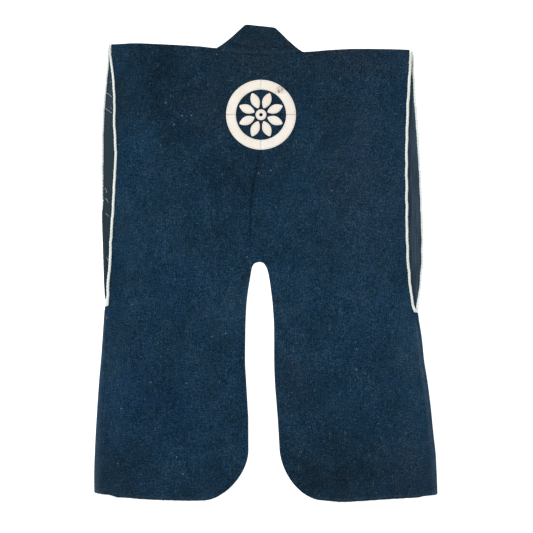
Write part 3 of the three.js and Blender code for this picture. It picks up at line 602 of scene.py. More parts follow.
def add_cloth(name, point, x, y, thickness, material, relief=0.0, under=0.0, edge=None, ring=False):
    """A closed shell of cloth about a surface, with rounded edges. Relief raises its upper face alone."""
    middle = point(x, y)
    normal = normal_at(point, x, y)
    full = roundness(edge_distance(middle, ring), edge or thickness / 2)
    up = full * thickness / 2 + relief * full
    down = full * (thickness / 2 + under)
    return add_shell(
        name, middle + normal * up[..., None], middle - normal * down[..., None], material, ring
    )


AWRY = (0.13, 0.21, 0.97)  # a direction that no path starts along


def tube_points(path, radii, sides):
    """Rings of points about a path, [place][side], in a frame that doesn't twist."""
    tangents = np.gradient(path, axis=0)
    tangents /= np.linalg.norm(tangents, axis=1, keepdims=True)
    across = np.cross(tangents[0], AWRY)
    rings = []
    for centre, tangent, radius in zip(path, tangents, np.broadcast_to(radii, len(path))):
        across = across - tangent * across.dot(tangent)
        across = across / np.linalg.norm(across)
        other = np.cross(tangent, across)
        angles = np.arange(sides) * 2 * math.pi / sides
        rings.append(centre + radius * (np.outer(np.cos(angles), across) + np.outer(np.sin(angles), other)))
    return np.array(rings)


def add_tubes(name, tubes, material):
    """One mesh of closed tubes, each given by its rings of points."""
    points = []
    faces = []
    for rings in tubes:
        start = len(points)
        places, sides = rings.shape[:2]
        points.extend(rings.reshape(-1, 3).tolist())
        for i in range(places - 1):
            low = start + i * sides
            for j in range(sides):
                k = (j + 1) % sides
                faces.append((low + j, low + k, low + sides + k, low + sides + j))
        faces.append(tuple(range(start + sides - 1, start - 1, -1)))
        last = start + (places - 1) * sides
        faces.append(tuple(range(last, last + sides)))
    return add_object(name, np.array(points), faces, material)


# Patterns of the panels: where each piece's points lie

BACK_LEAVES_CORD = (-1.5, 2)
FRONT_LEAVES_CORD = (-3, 0.5)
SIDE_TURNS_OVER = (-1, 3.5)
RETURN_WIDENS = (14, 105)
CORD_TUCK = 1.2  # how far the front's edge is drawn in under its cord
NECK_DEPTH = 8
SETTLING_ROUNDS = 4
EDGE_STRIP = 3
LINING_INSET = 1
FINE_STEP = 0.35
BACK_STEP = 3.0
SHOULDER_TURN = 17
TURN_STEP = 1.0
CORNER_STEPS = 40
FRONT_WIDTH = 180
FRONT_FINE = 0.5
FRONT_STEP = 5.5
SIDE_FOLD_STEPS = 14
RETURN_STEPS = 6
LINING_WIDTH = 190
LINING_FINE = 0.4
LINING_STEP = 4.0


def below(side, y, span):
    return smoothstep(side.armhole_foot - y, *span)


def side_return(side, y):
    return SIDE_RETURN * below(side, y, RETURN_WIDENS)


def back_edge(side, y):
    """Outer edge of a back half: beside the armhole's cord, then beside the front's return."""
    armhole = side.cord(y) - side.sign * CORD_SEAT
    seam = side.outline(y) - side.sign * (SIDE_INSET + side_return(side, y) - SEAM_OVERLAP)
    return lerp(armhole, seam, below(side, y, BACK_LEAVES_CORD))


def side_level(side, share):
    return lerp(VENT_CROWN_Y, hem(side.sign * SIDE_HEM_X), share)


def shoulder_wrap(side, x):
    """How far the back reaches round the shoulder's fold, from nothing at the neck."""
    return SHOULDER_WRAP * np.minimum(np.abs(x - side.neck_x) / SHOULDER_LENGTH, 1)


def back_columns(side, across):
    """Shares of a back's columns, their turns on the skirt's round corner, and which meet the shoulder."""
    edge_x = across(0, side.neck_y)
    neck_share = (side.neck_x - edge_x) / (across(1, side.neck_y) - edge_x)
    outer = graded_shares(abs(side.neck_x - edge_x), FINE_STEP, BACK_STEP) * neck_share
    turn = np.linspace(math.pi / 2, 0, CORNER_STEPS + 1)[1:]
    inner = 1 - (1 - neck_share) * (1 - np.cos(turn) ** CORNER_BEND[side.name])
    shares = np.concatenate([outer, inner])
    turn = np.concatenate([np.full_like(outer, math.pi / 2), turn])
    return shares, turn, shares < neck_share


def back_grid(side):
    """Pattern points of a back half, [column][row]."""

    def across(u, y):
        overlap = np.where(y > VENT_CROWN_Y, side.sign * SEAM_OVERLAP, 0)
        return lerp(back_edge(side, y), side.centre(y) - overlap, u)

    u, turn, on_shoulder = back_columns(side, across)

    def level_on(edge, start):
        y = np.full_like(u, start)
        for _ in range(SETTLING_ROUNDS):
            y = edge(across(u, y))
        return y

    def fold_start(x):
        return shoulder(x) - SHOULDER_INSET

    def fold_end(x):
        return fold_start(x) + math.pi * SHOULDER_FOLD_RADIUS + shoulder_wrap(side, x)

    def top_level(on_fold, past_neck):
        at_neck = level_on(lambda x: neck(x) + past_neck, side.neck_y)
        return np.where(on_shoulder, level_on(on_fold, side.neck_y), at_neck)[:, None]

    start = top_level(fold_start, -NECK_DEPTH)
    top = top_level(fold_end, SEAM_OVERLAP)
    hem_level = side_level(side, 1)
    roundness_share = np.sin(turn) ** CORNER_BEND[side.name]
    bottom = lerp(side.corner_start, level_on(hem_edge, hem_level), roundness_share)[:, None]
    fold = 1 - graded_shares(SHOULDER_TURN, FINE_STEP, TURN_STEP, fine_at_end=True)
    upper = 1 - graded_shares(abs(side.neck_y - VENT_CROWN_Y), FINE_STEP, BACK_STEP)[::-1]
    lower = graded_shares(abs(hem_level - VENT_CROWN_Y), FINE_STEP, BACK_STEP, fine_at_end=True)
    above = lerp(start, VENT_CROWN_Y, upper[1:])
    below_crown = lerp(VENT_CROWN_Y, bottom, lower[1:])
    y = np.concatenate([lerp(start, top, fold), above, below_crown], axis=1)
    return across(u[:, None], y), y


def front_edge(side, y):
    """Outer end of a front's pattern: inside the armhole's cord, then round the side fold."""
    armhole = lerp(2 * side.front_cord(y) - CORD_TUCK, ROLL["edge"], rolled(side, y))
    curl = math.pi * SIDE_FOLD_RADIUS * below(side, y, SIDE_TURNS_OVER) + side_return(side, y)
    return side.outline(y) - side.sign * lerp(armhole, SIDE_INSET - curl, below(side, y, FRONT_LEAVES_CORD))


def inside_edge(side, y, margin):
    inset = side.sign * (side.outline(y) - front_edge(side, y))
    least = lerp(SIDE_INSET, 0, rolled(side, y))
    return side.outline(y) - side.sign * np.maximum(least, inset + margin)


def front_levels(side, place, count, setback):
    """Levels of each column of a front, from its shoulder seam to its hem."""
    top = np.full(count, side.top_y)
    bottom = np.full(count, side_level(side, 1))
    for _ in range(SETTLING_ROUNDS):
        x = place(top)
        top = shoulder(x) - SHOULDER_INSET - shoulder_wrap(side, x) - setback["top"]
        lies = front_point(side)(place(bottom), bottom)[..., 0]
        share = smoothstep(np.abs(side.outline(bottom) - lies), *HEM_SIDE)
        bottom = hem(lies) + setback["hem"] + lerp(FRONT_HEM_RISE["side"], FRONT_HEM_RISE["inside"], share)
    shares = graded_shares(side.top_y - side_level(side, 1), FRONT_FINE, FRONT_STEP, fine_at_end=True)
    return lerp(top[:, None], bottom[:, None], shares)


def as_columns(shares, y):
    """Shares of the columns, shaped to go with one level or a row of levels for each column."""
    return shares if np.ndim(y) == 1 else shares[:, None]


def front_grid(side):
    """Pattern points of a front: across the flat, round the side fold, then on its return."""
    flat = graded_shares(FRONT_WIDTH, FRONT_FINE, FRONT_STEP, fine_at_end=True)
    curl = np.linspace(0, 1, SIDE_FOLD_STEPS + 1)[1:]
    back = np.linspace(0, 1, RETURN_STEPS + 1)[1:]
    flat_shares = np.pad(flat, (0, len(curl) + len(back)), constant_values=1)
    curl_shares = np.concatenate([np.zeros(len(flat)), curl, np.ones(len(back))])
    back_shares = np.concatenate([np.zeros(len(flat) + len(curl)), back])

    def place(y):
        inner = side.band_sewn(y) - side.sign * SEAM_OVERLAP
        start = inside_edge(side, y, EDGE_STRIP)
        end = front_edge(side, y)
        turned = start + side.sign * np.minimum(math.pi * SIDE_FOLD_RADIUS, side.sign * (end - start))
        return (
            inner
            + (start - inner) * as_columns(flat_shares, y)
            + (turned - start) * as_columns(curl_shares, y)
            + (end - turned) * as_columns(back_shares, y)
        )

    y = front_levels(side, place, len(flat_shares), OUTER_SETBACK)
    return place(y), y


def lining_grid(side):
    """Pattern points of a front's lining, which stops inside the front's edge."""
    shares = 1 - graded_shares(LINING_WIDTH, LINING_FINE, LINING_STEP)[::-1]

    def place(y):
        inner = side.band_sewn(y) + side.sign * SEAM_GAP
        outer = inside_edge(side, y, 0) - side.sign * LINING_INSET
        return lerp(inner, outer, as_columns(shares, y))

    y = front_levels(side, place, len(shares), LINING_SETBACK)
    return place(y), y


# The sewn pieces

# The side fold's pale line: level, how far inside the outline, its half width and strength
SIDE_WEAR = {
    "left": [(-120, 3.8, 2.4, 0.35), (-170, 3.9, 2.6, 0.35), (-285, 4.6, 4.0, 0.36), (-387, 4.8, 6.0, 0.5)],
    "right": [(-120, 7.6, 2.8, 0.6), (-170, 7.3, 2.6, 0.75), (-285, 6.6, 3.0, 0.58), (-387, 6.0, 4.4, 0.4)],
}
RIM_WEAR = {"half": 3.2, "strength": 0.5}
# Painted light: how much paler the seam beside each front's return is painted, against the shade in its gap,
# and its half width
SEAM_PAINTED_LIGHT = {"left": 0.15, "right": 0.06, "half": 3.2}
MIDDLE_SHADE = {"strength": -0.45, "half": 2.4, "from": (35, 65), "to": (195, 225)}
HEM_WEAR = {"from_hem": 5, "half": 2.4, "strength": 0.28}
WEAR_AND_LIGHT_STARTS = (2, 30)  # how far below the armhole's foot
# How much of the wear and the seam's painted light shows: its middle share, how far that changes from place
# to place, and its limit
SIDE_UNEVEN = (0.9, 0.35, 1.3)
HEM_UNEVEN = (0.7, 0.5, 1)
wear_and_light_changes = waves(seed=67, count=12, along_x=(20, 90), along_y=(14, 110))


def uneven(x, y, middle, change, limit):
    return (middle + change * wear_and_light_changes(x, y)).clip(0, limit)


def hem_wear(x, y):
    band = bell(y - hem(x) - HEM_WEAR["from_hem"], HEM_WEAR["half"])
    return HEM_WEAR["strength"] * band * uneven(x, y, *HEM_UNEVEN)


def middle_shade(side, x, y):
    """The middle seam lies in a dark hollow between the applique and the vent."""
    level = smoothstep(y, *MIDDLE_SHADE["from"]) * (1 - smoothstep(y, *MIDDLE_SHADE["to"]))
    return MIDDLE_SHADE["strength"] * bell(x - side.centre(y), MIDDLE_SHADE["half"]) * level


def side_wear_and_seam_light(side, x, y):
    """The side fold is worn pale at its rim and in a line inside it, and painted light makes its seam paler.
    """
    inside = side.sign * (side.outline(y) - x)
    rows = SIDE_WEAR[side.name]
    middle, half, strength = (through([(row[0], row[k]) for row in rows])(y) for k in (1, 2, 3))
    line = strength * bell(inside - middle, half)
    rim = RIM_WEAR["strength"] * bell(inside, RIM_WEAR["half"])
    # painted light: the seam beside the return is painted paler, against the shade in its gap
    seam = SEAM_PAINTED_LIGHT[side.name] * bell(inside - SIDE_INSET - SIDE_RETURN, SEAM_PAINTED_LIGHT["half"])
    return (line + rim + seam) * below(side, y, WEAR_AND_LIGHT_STARTS) * uneven(x, y, *SIDE_UNEVEN)


# How far from a piece's edge its rounding reaches, where that isn't half its thickness
BACK_EDGE = 1.0
COLLAR_EDGE = 1.3
APPLIQUE_EDGE = 0.9

RETURN_PUCKER = 0.18
LINING_FOLD = 0.16
LINING_RIPPLE = 0.10
return_puckers = waves(seed=17, count=10, along_x=(30, 60), along_y=(9, 30))
lining_folds = waves(seed=23, count=14, along_x=(5, 16), along_y=(160, 700))
lining_ripples = waves(seed=29, count=10, along_x=(20, 50), along_y=(18, 60))


def add_back(side, material):
    x, y = back_grid(side)
    relief = back_relief(x, y)
    piece = add_cloth(
        f"back_cloth_{side.name}", back_point, x, y, BACK_CLOTH, material, relief=relief, edge=BACK_EDGE
    )
    paint_wear_and_light(piece, side_wear_and_seam_light(side, x, y) + hem_wear(x, y) + middle_shade(side, x, y))
    return piece


def add_front(side, material):
    x, y = front_grid(side)
    lies, _, height = np.moveaxis(front_point(side)(x, y), -1, 0)
    puckers = RETURN_PUCKER * return_puckers(lies, y) * smoothstep(height, BACK_REST, BACK_REST + 1)
    piece = add_cloth(
        f"front_cloth_{side.name}", front_point(side), x, y, FRONT_CLOTH, material, under=puckers
    )
    paint_wear_and_light(piece, side_wear_and_seam_light(side, lies, y) + hem_wear(lies, y))
    return piece


def add_lining(side, material):
    x, y = lining_grid(side)
    relief = LINING_FOLD * lining_folds(x, y) + LINING_RIPPLE * lining_ripples(x, y)
    return add_cloth(f"lining_cloth_{side.name}", lining_point(side), x, y, LINING_CLOTH, material, relief)


COLLAR_ACROSS_STEP = 1.3
COLLAR_BAND_STEP = 6.0
NAPE_STEP = 1.5
NAPE_WIDTH = 57
NAPE_EASE = 12
NAPE_SLACK = 0.16
# Puckers beside the collar's seam: height, their middle and half width as shares of the way across
NAPE_PUCKER = {"height": 0.3, "middle": 0.08, "half": 0.07, "length": 9, "wander": 2.5, "wander_length": 13}
NAPE_UNEVEN = {"change": 0.6, "scale": 2}
FOLD_STEPS = 18
nape_slack = waves(seed=31, count=16, along_x=(8, 40), along_y=(14, 90))
nape_free_x = through([(ax, fx) for ax, fx, _ in NAPE_ROWS])
nape_free_y = through([(ax, fy) for ax, _, fy in NAPE_ROWS])
nape_relief = through(NAPE_RELIEF)
fold_bow = through(FOLD_BOW)
nape_highlight_and_shade = through(NAPE_HIGHLIGHT_AND_SHADE)


def collar_rows():
    """The band's sections from its left foot over the nape to its right foot, with their normals.

    A section is (ax, ay) on the sewn edge, (fx, fy) on the free edge, its normal, how far it is nape, and
    the way and the share in which it bows.
    """
    up = np.array([0.0, 0.0, 1.0])

    def hidden(side):
        rows = np.array(side.band)
        along = np.concatenate([[0], np.cumsum(np.hypot(*np.diff(rows[:, :2], axis=0).T))])
        smooth = [through(list(zip(along, rows[:, k]))) for k in range(4)]
        places = np.arange(0, along[-1], COLLAR_BAND_STEP)[1:]
        places = np.append(places, along[-1])
        bows = [-side.fold_out * (1 - smoothstep(place, 0, BOW_FADES)) for place in places]
        return [([f(place) for f in smooth], -up, 0, bow) for place, bow in zip(places, bows)]

    def fold(side):
        turns = np.linspace(0, math.pi, FOLD_STEPS + 1)
        normals = [side.fold_out * math.sin(t) + up * math.cos(t) for t in turns]
        return [(side.band[0], normal, 0, -side.fold_out) for normal in normals]

    left_x, right_x = LEFT.band[0][0], RIGHT.band[0][0]
    nape = []
    for x in np.arange(left_x + NAPE_STEP, right_x - NAPE_STEP / 2, NAPE_STEP):
        share = smoothstep(min(x - left_x, right_x - x), 0, NAPE_EASE)
        sewn_y = neck(x) + lerp(0, -SEAM_OVERLAP, share)
        bow = -LEFT.fold_out * (1 - smoothstep(x - left_x, 0, BOW_FADES))
        bow = bow - RIGHT.fold_out * (1 - smoothstep(right_x - x, 0, BOW_FADES))
        nape.append(((x, sewn_y, nape_free_x(x), nape_free_y(x)), up, share, bow))
    left = hidden(LEFT)[::-1] + fold(LEFT)[::-1]
    return left + nape + fold(RIGHT) + hidden(RIGHT)


def add_collar(material):
    across = graded_shares(NAPE_WIDTH, FINE_STEP, COLLAR_ACROSS_STEP, fine_at_end=True)
    middle_height = COLLAR_CLOTH / 2 + COLLAR_FOLD_RADIUS
    points, normals, relief, wear = [], [], [], []
    for (ax, ay, fx, fy), normal, share, bow in collar_rows():
        x = lerp(ax, fx, across) + fold_bow(across) * bow[0]
        y = lerp(ay, fy, across) + fold_bow(across) * bow[1]
        lift = middle_height + share * nape_relief(across)
        row = np.stack([x, y, lift], axis=-1) + normal * COLLAR_FOLD_RADIUS
        points.append(row)
        normals.append(np.broadcast_to(normal, row.shape))
        pucker = ripples(x, NAPE_PUCKER) * bell(across - NAPE_PUCKER["middle"], NAPE_PUCKER["half"])
        relief.append(share * (NAPE_SLACK * nape_slack(x, y) + NAPE_PUCKER["height"] * pucker))
        change = wear_and_light_changes(NAPE_UNEVEN["scale"] * x, NAPE_UNEVEN["scale"] * y)
        # painted highlight on the puckers beside the seam, and painted shade in the crease
        wear.append(share * nape_highlight_and_shade(across) * (1 + NAPE_UNEVEN["change"] * change))
    points, normals, relief = np.array(points), np.array(normals), np.array(relief)
    full = roundness(edge_distance(points), COLLAR_EDGE)
    up = full * (COLLAR_CLOTH / 2 + relief)
    down = full * COLLAR_CLOTH / 2
    top, bottom = points + normals * up[..., None], points - normals * down[..., None]
    piece = add_shell("collar_band", top, bottom, material)
    paint_wear_and_light(piece, np.array(wear))
    return piece


# The cords sewn round the armholes: three strands, laid up as a rope

TURN_CLEARANCE = 4
TURN_STEPS = 6
CORD_STEP = 1.3
STRANDS = 3
STRAND_RADIUS = 0.54  # of a strand, as a share of the cord's radius
STRAND_OFFSET = 0.44  # of a strand's middle from the cord's, likewise
STRAND_SIDES = 10
TWIST_LENGTH = 20
CORD_WANDER = 0.4
CORD_LUMPS = 0.05
CORD_TIP = 0.1  # the least share of its section that a strand tapers to
STRANDS_APART = 300  # between the strands in the field of their lumps, which changes slowly across them
STRAND_FIELD = (900, 1000)
ROLL_TUCK = 0.6  # how much further in the front's cord lies under the roll


def cord_route(side):
    """Middle and radius of a cord: down the front's edge, round the foot, up the back's, over the top."""
    ys = [y for y in side.levels if side.turn_y + TURN_CLEARANCE < y < side.top_y - TURN_CLEARANCE]

    def front_leg(y):
        radius = side.front_cord(y)
        inset = radius + ROLL_TUCK * rolled(side, y)
        return np.array([side.outline(y) - side.sign * inset, y, radius + CORD_LOW - CORD_RADIUS, radius])

    def back_leg(y):
        front = front_leg(y)
        radius = side.back_cord(y)
        apart = abs(side.cord(y) - front[0])
        pitch = front[3] + radius
        over = front[2] + math.sqrt(max(pitch**2 - apart**2, 0))
        return np.array([side.cord(y), y, max(BACK_REST + radius, over), radius])

    def turn(start, end, way):
        middle = (start + end) / 2
        radius = np.linalg.norm((end - start)[:3]) / 2
        out = np.array([0, way * radius, 0, 0])
        angles = [math.pi * i / TURN_STEPS for i in range(1, TURN_STEPS)]
        return [middle + (start - middle) * math.cos(a) + out * math.sin(a) for a in angles]

    top, foot = side.top_y, side.turn_y
    return np.array(
        [front_leg(top - 2 * SEAM_GAP)]
        + [front_leg(y) for y in ys]
        + [front_leg(foot)]
        + turn(front_leg(foot), back_leg(foot), -1)
        + [back_leg(foot)]
        + [back_leg(y) for y in reversed(ys)]
        + [back_leg(top)]
        + turn(back_leg(top), front_leg(top), 1)
        + [front_leg(top)]
    )


def smooth_route(rows, step):
    """Evenly spaced rows on a smooth curve through a route's rows, and how far along it each lies."""
    along = np.concatenate([[0], np.cumsum(np.linalg.norm(np.diff(rows[:, :3], axis=0), axis=1))])
    curve = [through(list(zip(along, column))) for column in rows.T]
    places = np.linspace(0, along[-1], round(along[-1] / step) + 1)
    return np.stack([f(places) for f in curve], axis=-1), places


def add_cord(side, material):
    rows, along = smooth_route(cord_route(side), CORD_STEP)
    route, radius = rows[:, :3], rows[:, 3]
    wander = waves(seed=41 + side.sign, count=8, along_x=(14, 60), along_y=STRAND_FIELD)
    route[:, 0] += CORD_WANDER * wander(along, 0)
    lumps = waves(seed=47 + side.sign, count=10, along_x=(7, 40), along_y=STRAND_FIELD)
    frame_of_route = tube_points(route, 1.0, 4)
    across = frame_of_route[:, 0] - route
    other = frame_of_route[:, 1] - route
    ends = np.minimum(along, along[-1] - along)
    tubes = []
    for strand in range(STRANDS):
        turn = 2 * math.pi * (along / TWIST_LENGTH + strand / STRANDS)
        offset = np.cos(turn)[:, None] * across + np.sin(turn)[:, None] * other
        centre = route + (STRAND_OFFSET * radius)[:, None] * offset
        radii = STRAND_RADIUS * radius * (1 + CORD_LUMPS * lumps(along, strand * STRANDS_APART))
        radii = radii * np.sqrt(np.clip(ends / CORD_RADIUS, CORD_TIP, 1))
        tubes.append(tube_points(centre, radii, STRAND_SIDES))
    return add_tubes(f"cord_{side.name}", tubes, material)


# The applique on the upper back

APPLIQUE_MIDDLE = (-9.1, 289.6)
RING = {"inner": 49, "outer": 68, "arcs": 4, "gap": 0.4}
LEAVES = 8
LEAF = {"start": 14, "end": 45, "half": 8.5, "tip": 1, "fullness": 0.8}
DISC = {"inner": 3.5, "outer": 10.5}
APPLIQUE_STEP = 1.0
RING_FINE = 0.25
LEAF_FINE = {"along": 0.15, "across": 0.2}
DISC_STEPS = 72
DISC_STEP = 0.8
STITCH_INSET = 2.0
STITCH_DENT = {"depth": 0.22, "half": 0.55}
PILLOW = {"height": 0.25, "starts": 0.5, "full": 3.5}


def applique_surface(x, y):
    """Middle of the applique's cloth, which lies on the back."""
    height = BACK_CLOTH / 2 + SEAM_GAP + APPLIQUE_CLOTH / 2
    return back_point(x, y) + normal_at(back_point, x, y) * height


def polar(angle, radius, sideways=0.0):
    x = APPLIQUE_MIDDLE[0] + radius * np.sin(angle) + sideways * np.cos(angle)
    y = APPLIQUE_MIDDLE[1] + radius * np.cos(angle) - sideways * np.sin(angle)
    return x, y


def leaf_angle(index):
    return 2 * math.pi * (index + 0.5) / LEAVES


def leaf_half_width(share):
    return lerp(LEAF["tip"], LEAF["half"], np.sin(math.pi * share) ** LEAF["fullness"])


def arc_grid(index):
    span = 2 * math.pi / RING["arcs"]
    trim = math.radians(RING["gap"]) / 2
    length = span * RING["outer"]
    shares = graded_shares(length, RING_FINE, APPLIQUE_STEP, fine_at_end=True)
    across = graded_shares(RING["outer"] - RING["inner"], RING_FINE, APPLIQUE_STEP, fine_at_end=True)
    angles = span * index + trim + (span - 2 * trim) * shares
    radii = lerp(RING["inner"], RING["outer"], across)
    return polar(angles[:, None], radii[None, :])


def leaf_grid(index):
    angle = leaf_angle(index)
    shares = graded_shares(LEAF["end"] - LEAF["start"], LEAF_FINE["along"], APPLIQUE_STEP, fine_at_end=True)
    across = 2 * graded_shares(2 * LEAF["half"], LEAF_FINE["across"], APPLIQUE_STEP, fine_at_end=True) - 1
    half = leaf_half_width(shares)
    radii = lerp(LEAF["start"], LEAF["end"], shares)
    return polar(angle, radii[:, None], half[:, None] * across[None, :])


def disc_grid():
    angles = np.linspace(0, 2 * math.pi, DISC_STEPS + 1)[:-1]
    across = graded_shares(DISC["outer"] - DISC["inner"], RING_FINE, DISC_STEP, fine_at_end=True)
    radii = lerp(DISC["inner"], DISC["outer"], across)
    return polar(angles[:, None], radii[None, :])


def add_applique_piece(name, grid, material, ring=False):
    x, y = grid
    distance = edge_distance(applique_surface(x, y), ring)
    dent = STITCH_DENT["depth"] * bell(distance - STITCH_INSET, STITCH_DENT["half"])
    swell = PILLOW["height"] * smoothstep(distance, PILLOW["starts"], PILLOW["full"]) - dent
    return add_cloth(
        name, applique_surface, x, y, APPLIQUE_CLOTH, material,
        relief=swell, under=SEAM_GAP, edge=APPLIQUE_EDGE, ring=ring,
    )


# Sewing thread

STITCH = {"length": 2.3, "gap": 1.5, "radius": 0.26, "sides": 6}
STITCH_TAPER = [0.6, 1, 1, 1, 0.6]
STITCH_ARCH = 1.6  # how high a stitch's middle rises over its ends, in radii of the thread
STITCH_SINKS = 1.0  # how far its ends sink below the thread's level, likewise


def stitch_line(x, y):
    """Stitches along a line of pattern points: the start and end of each."""
    along = np.concatenate([[0], np.cumsum(np.hypot(np.diff(x), np.diff(y)))])
    pitch = STITCH["length"] + STITCH["gap"]
    starts = np.arange(STITCH["gap"] / 2, along[-1] - STITCH["length"], pitch)
    ends = starts + STITCH["length"]

    def place(distance):
        return np.interp(distance, along, x), np.interp(distance, along, y)

    return [(place(start), place(end)) for start, end in zip(starts, ends)]


def stitch_tubes(stitches, surface, height):
    """Little arches of thread over a surface, each dipping into it at both ends."""
    radii = STITCH["radius"] * np.array(STITCH_TAPER)
    shares = np.linspace(0, 1, len(radii))
    tubes = []
    for (x0, y0), (x1, y1) in stitches:
        x, y = lerp(x0, x1, shares), lerp(y0, y1, shares)
        path = surface(x, y) + normal_at(surface, x, y) * height
        path[:, 2] += STITCH["radius"] * (np.sin(math.pi * shares) * STITCH_ARCH - STITCH_SINKS)
        tubes.append(tube_points(path, radii, STITCH["sides"]))
    return tubes


APPLIQUE_THREAD_LIES = 0.05  # above the applique's face
LEAF_STITCHED = (0.1, 0.9)  # of a leaf's length
LEAF_STITCH_LEAST = 0.6  # of a leaf's stitches from its middle line


def applique_stitches():
    stitches = []
    arcs = np.linspace(0, 2 * math.pi, 361)
    for radius in (RING["inner"] + STITCH_INSET, RING["outer"] - STITCH_INSET):
        stitches += stitch_line(*polar(arcs, radius))
    stitches += stitch_line(*polar(arcs, DISC["outer"] - STITCH_INSET))
    shares = np.linspace(*LEAF_STITCHED, 40)
    radii = lerp(LEAF["start"], LEAF["end"], shares)
    for index in range(LEAVES):
        for way in (-1, 1):
            sideways = way * (leaf_half_width(shares) - STITCH_INSET).clip(LEAF_STITCH_LEAST)
            stitches += stitch_line(*polar(leaf_angle(index), radii, sideways))
    return stitch_tubes(stitches, applique_surface, APPLIQUE_CLOTH / 2 + APPLIQUE_THREAD_LIES)


NECK_THREAD_LIES = 0.08  # above the back's face
NECK_STITCH = {
    "pitch": 6.5, "margin": 6, "shift": 2.4, "lengths": (1.2, 3.4), "below": 2.6, "off": (-1.2, 0.6),
    "share": 0.45,
}


def neck_stitches():
    """The collar's seam: thread shows here and there along the neck."""
    draw = np.random.default_rng(53)
    margin, shift = NECK_STITCH["margin"], NECK_STITCH["shift"]
    stitches = []
    for x in np.arange(LEFT.band[0][0] + margin, RIGHT.band[0][0] - margin, NECK_STITCH["pitch"]):
        start = x + draw.uniform(-shift, shift)
        end = start + draw.uniform(*NECK_STITCH["lengths"])
        off = draw.uniform(*NECK_STITCH["off"]) - NECK_STITCH["below"]
        if draw.uniform() < NECK_STITCH["share"]:
            stitches.append(((start, neck(start) + off), (end, neck(end) + off)))
    return stitch_tubes(stitches, back_point, BACK_CLOTH / 2 + NECK_THREAD_LIES)


# Loose threads on the left front's lining: x0, y0, x1, y1 and how far each bows sideways
LOOSE_THREADS = [
    (-310.5, 332.0, -299.4, 323.4, 1.2), (-315.0, 305.6, -298.0, 293.4, -1.6),
    (-303.2, 353.2, -298.8, 353.6, 0.6), (-303.6, 305.4, -299.0, 300.0, 0.8),
    (-315.0, 147.6, -311.0, 137.4, 2.4), (-313.4, 127.8, -306.8, 117.6, 1.4),
    (-311.6, 98.6, -304.6, 92.2, -1.0), (-313.0, 15.2, -307.0, 2.6, 1.8),
]
THREAD = {"radius": 0.19, "places": 12, "sides": 6, "waver": 0.25, "rise": 0.35, "tips": 0.5}


def thread_tubes():
    shares = np.linspace(0, 1, THREAD["places"])
    arch = np.sin(math.pi * shares)
    z = LINING_TOP + THREAD["radius"] + THREAD["rise"] * arch
    radii = THREAD["radius"] * np.where((shares == 0) | (shares == 1), THREAD["tips"], 1.0)
    tubes = []
    for x0, y0, x1, y1, bow in LOOSE_THREADS:
        length = math.hypot(x1 - x0, y1 - y0)
        sideways = bow * arch + THREAD["waver"] * bow * np.sin(3 * math.pi * shares)
        x = lerp(x0, x1, shares) - sideways * (y1 - y0) / length
        y = lerp(y0, y1, shares) + sideways * (x1 - x0) / length
        tubes.append(tube_points(np.stack([x, y, z], axis=-1), radii, THREAD["sides"]))
    return tubes


FRAY = {
    "lengths": (0.8, 3.0), "radii": (0.10, 0.22), "sides": 5, "rooted": 0.4, "shift": 1.6, "tilt": 0.5,
    "bend": 0.5, "height": 1.2, "height_change": 0.5,
}
FRAY_TAPER = [1, 1, 1, 0.8, 0.4]
FRAYED = [(-326, -60, 3.4), (50, 104, 3.4), (104, 200, 1.6), (200, 326, 3.4)]  # from, to, pitch
SKIRT_CORNER = {"level": -400.0, "wide": 95}  # the round corners have no frays


def fray_tubes():
    """Short fibres that stand out from the hem, which is worn."""
    draw = np.random.default_rng(61)
    shares = np.linspace(-FRAY["rooted"], 1, len(FRAY_TAPER))
    tubes = []
    for place in np.concatenate([np.arange(*stretch) for stretch in FRAYED]):
        x = place + draw.uniform(-FRAY["shift"], FRAY["shift"])
        angle = draw.normal(0, FRAY["tilt"])
        along = draw.uniform(*FRAY["lengths"]) * shares
        side = LEFT if x < 0 else RIGHT
        if abs(side.centre(SKIRT_CORNER["level"]) - x) < SKIRT_CORNER["wide"]:
            continue
        bend = draw.uniform(-FRAY["bend"], FRAY["bend"]) * shares * along
        height = FRAY["height"] + draw.uniform(-FRAY["height_change"], FRAY["height_change"])
        path_x = x + np.sin(angle) * along + bend
        path_y = hem_edge(x) - np.cos(angle) * along
        path = np.stack([path_x, path_y, np.full_like(shares, height)], axis=-1)
        radii = draw.uniform(*FRAY["radii"]) * np.array(FRAY_TAPER)
        tubes.append(tube_points(path, radii, FRAY["sides"]))
    return tubes


# Finishes. Tones are given as they look in the photograph, from 0 to 255.

LIGHT_LEVEL = 1.2  # how bright a white surface looks in this light


def tone(red, green, blue):
    """A surface's colour that looks like the given one in this scene's light."""
    shares = [value / 255 for value in (red, green, blue)]
    linear = [s / 12.92 if s <= 0.04045 else ((s + 0.055) / 1.055) ** 2.4 for s in shares]
    return tuple(min(value / LIGHT_LEVEL, 1) for value in linear) + (1,)


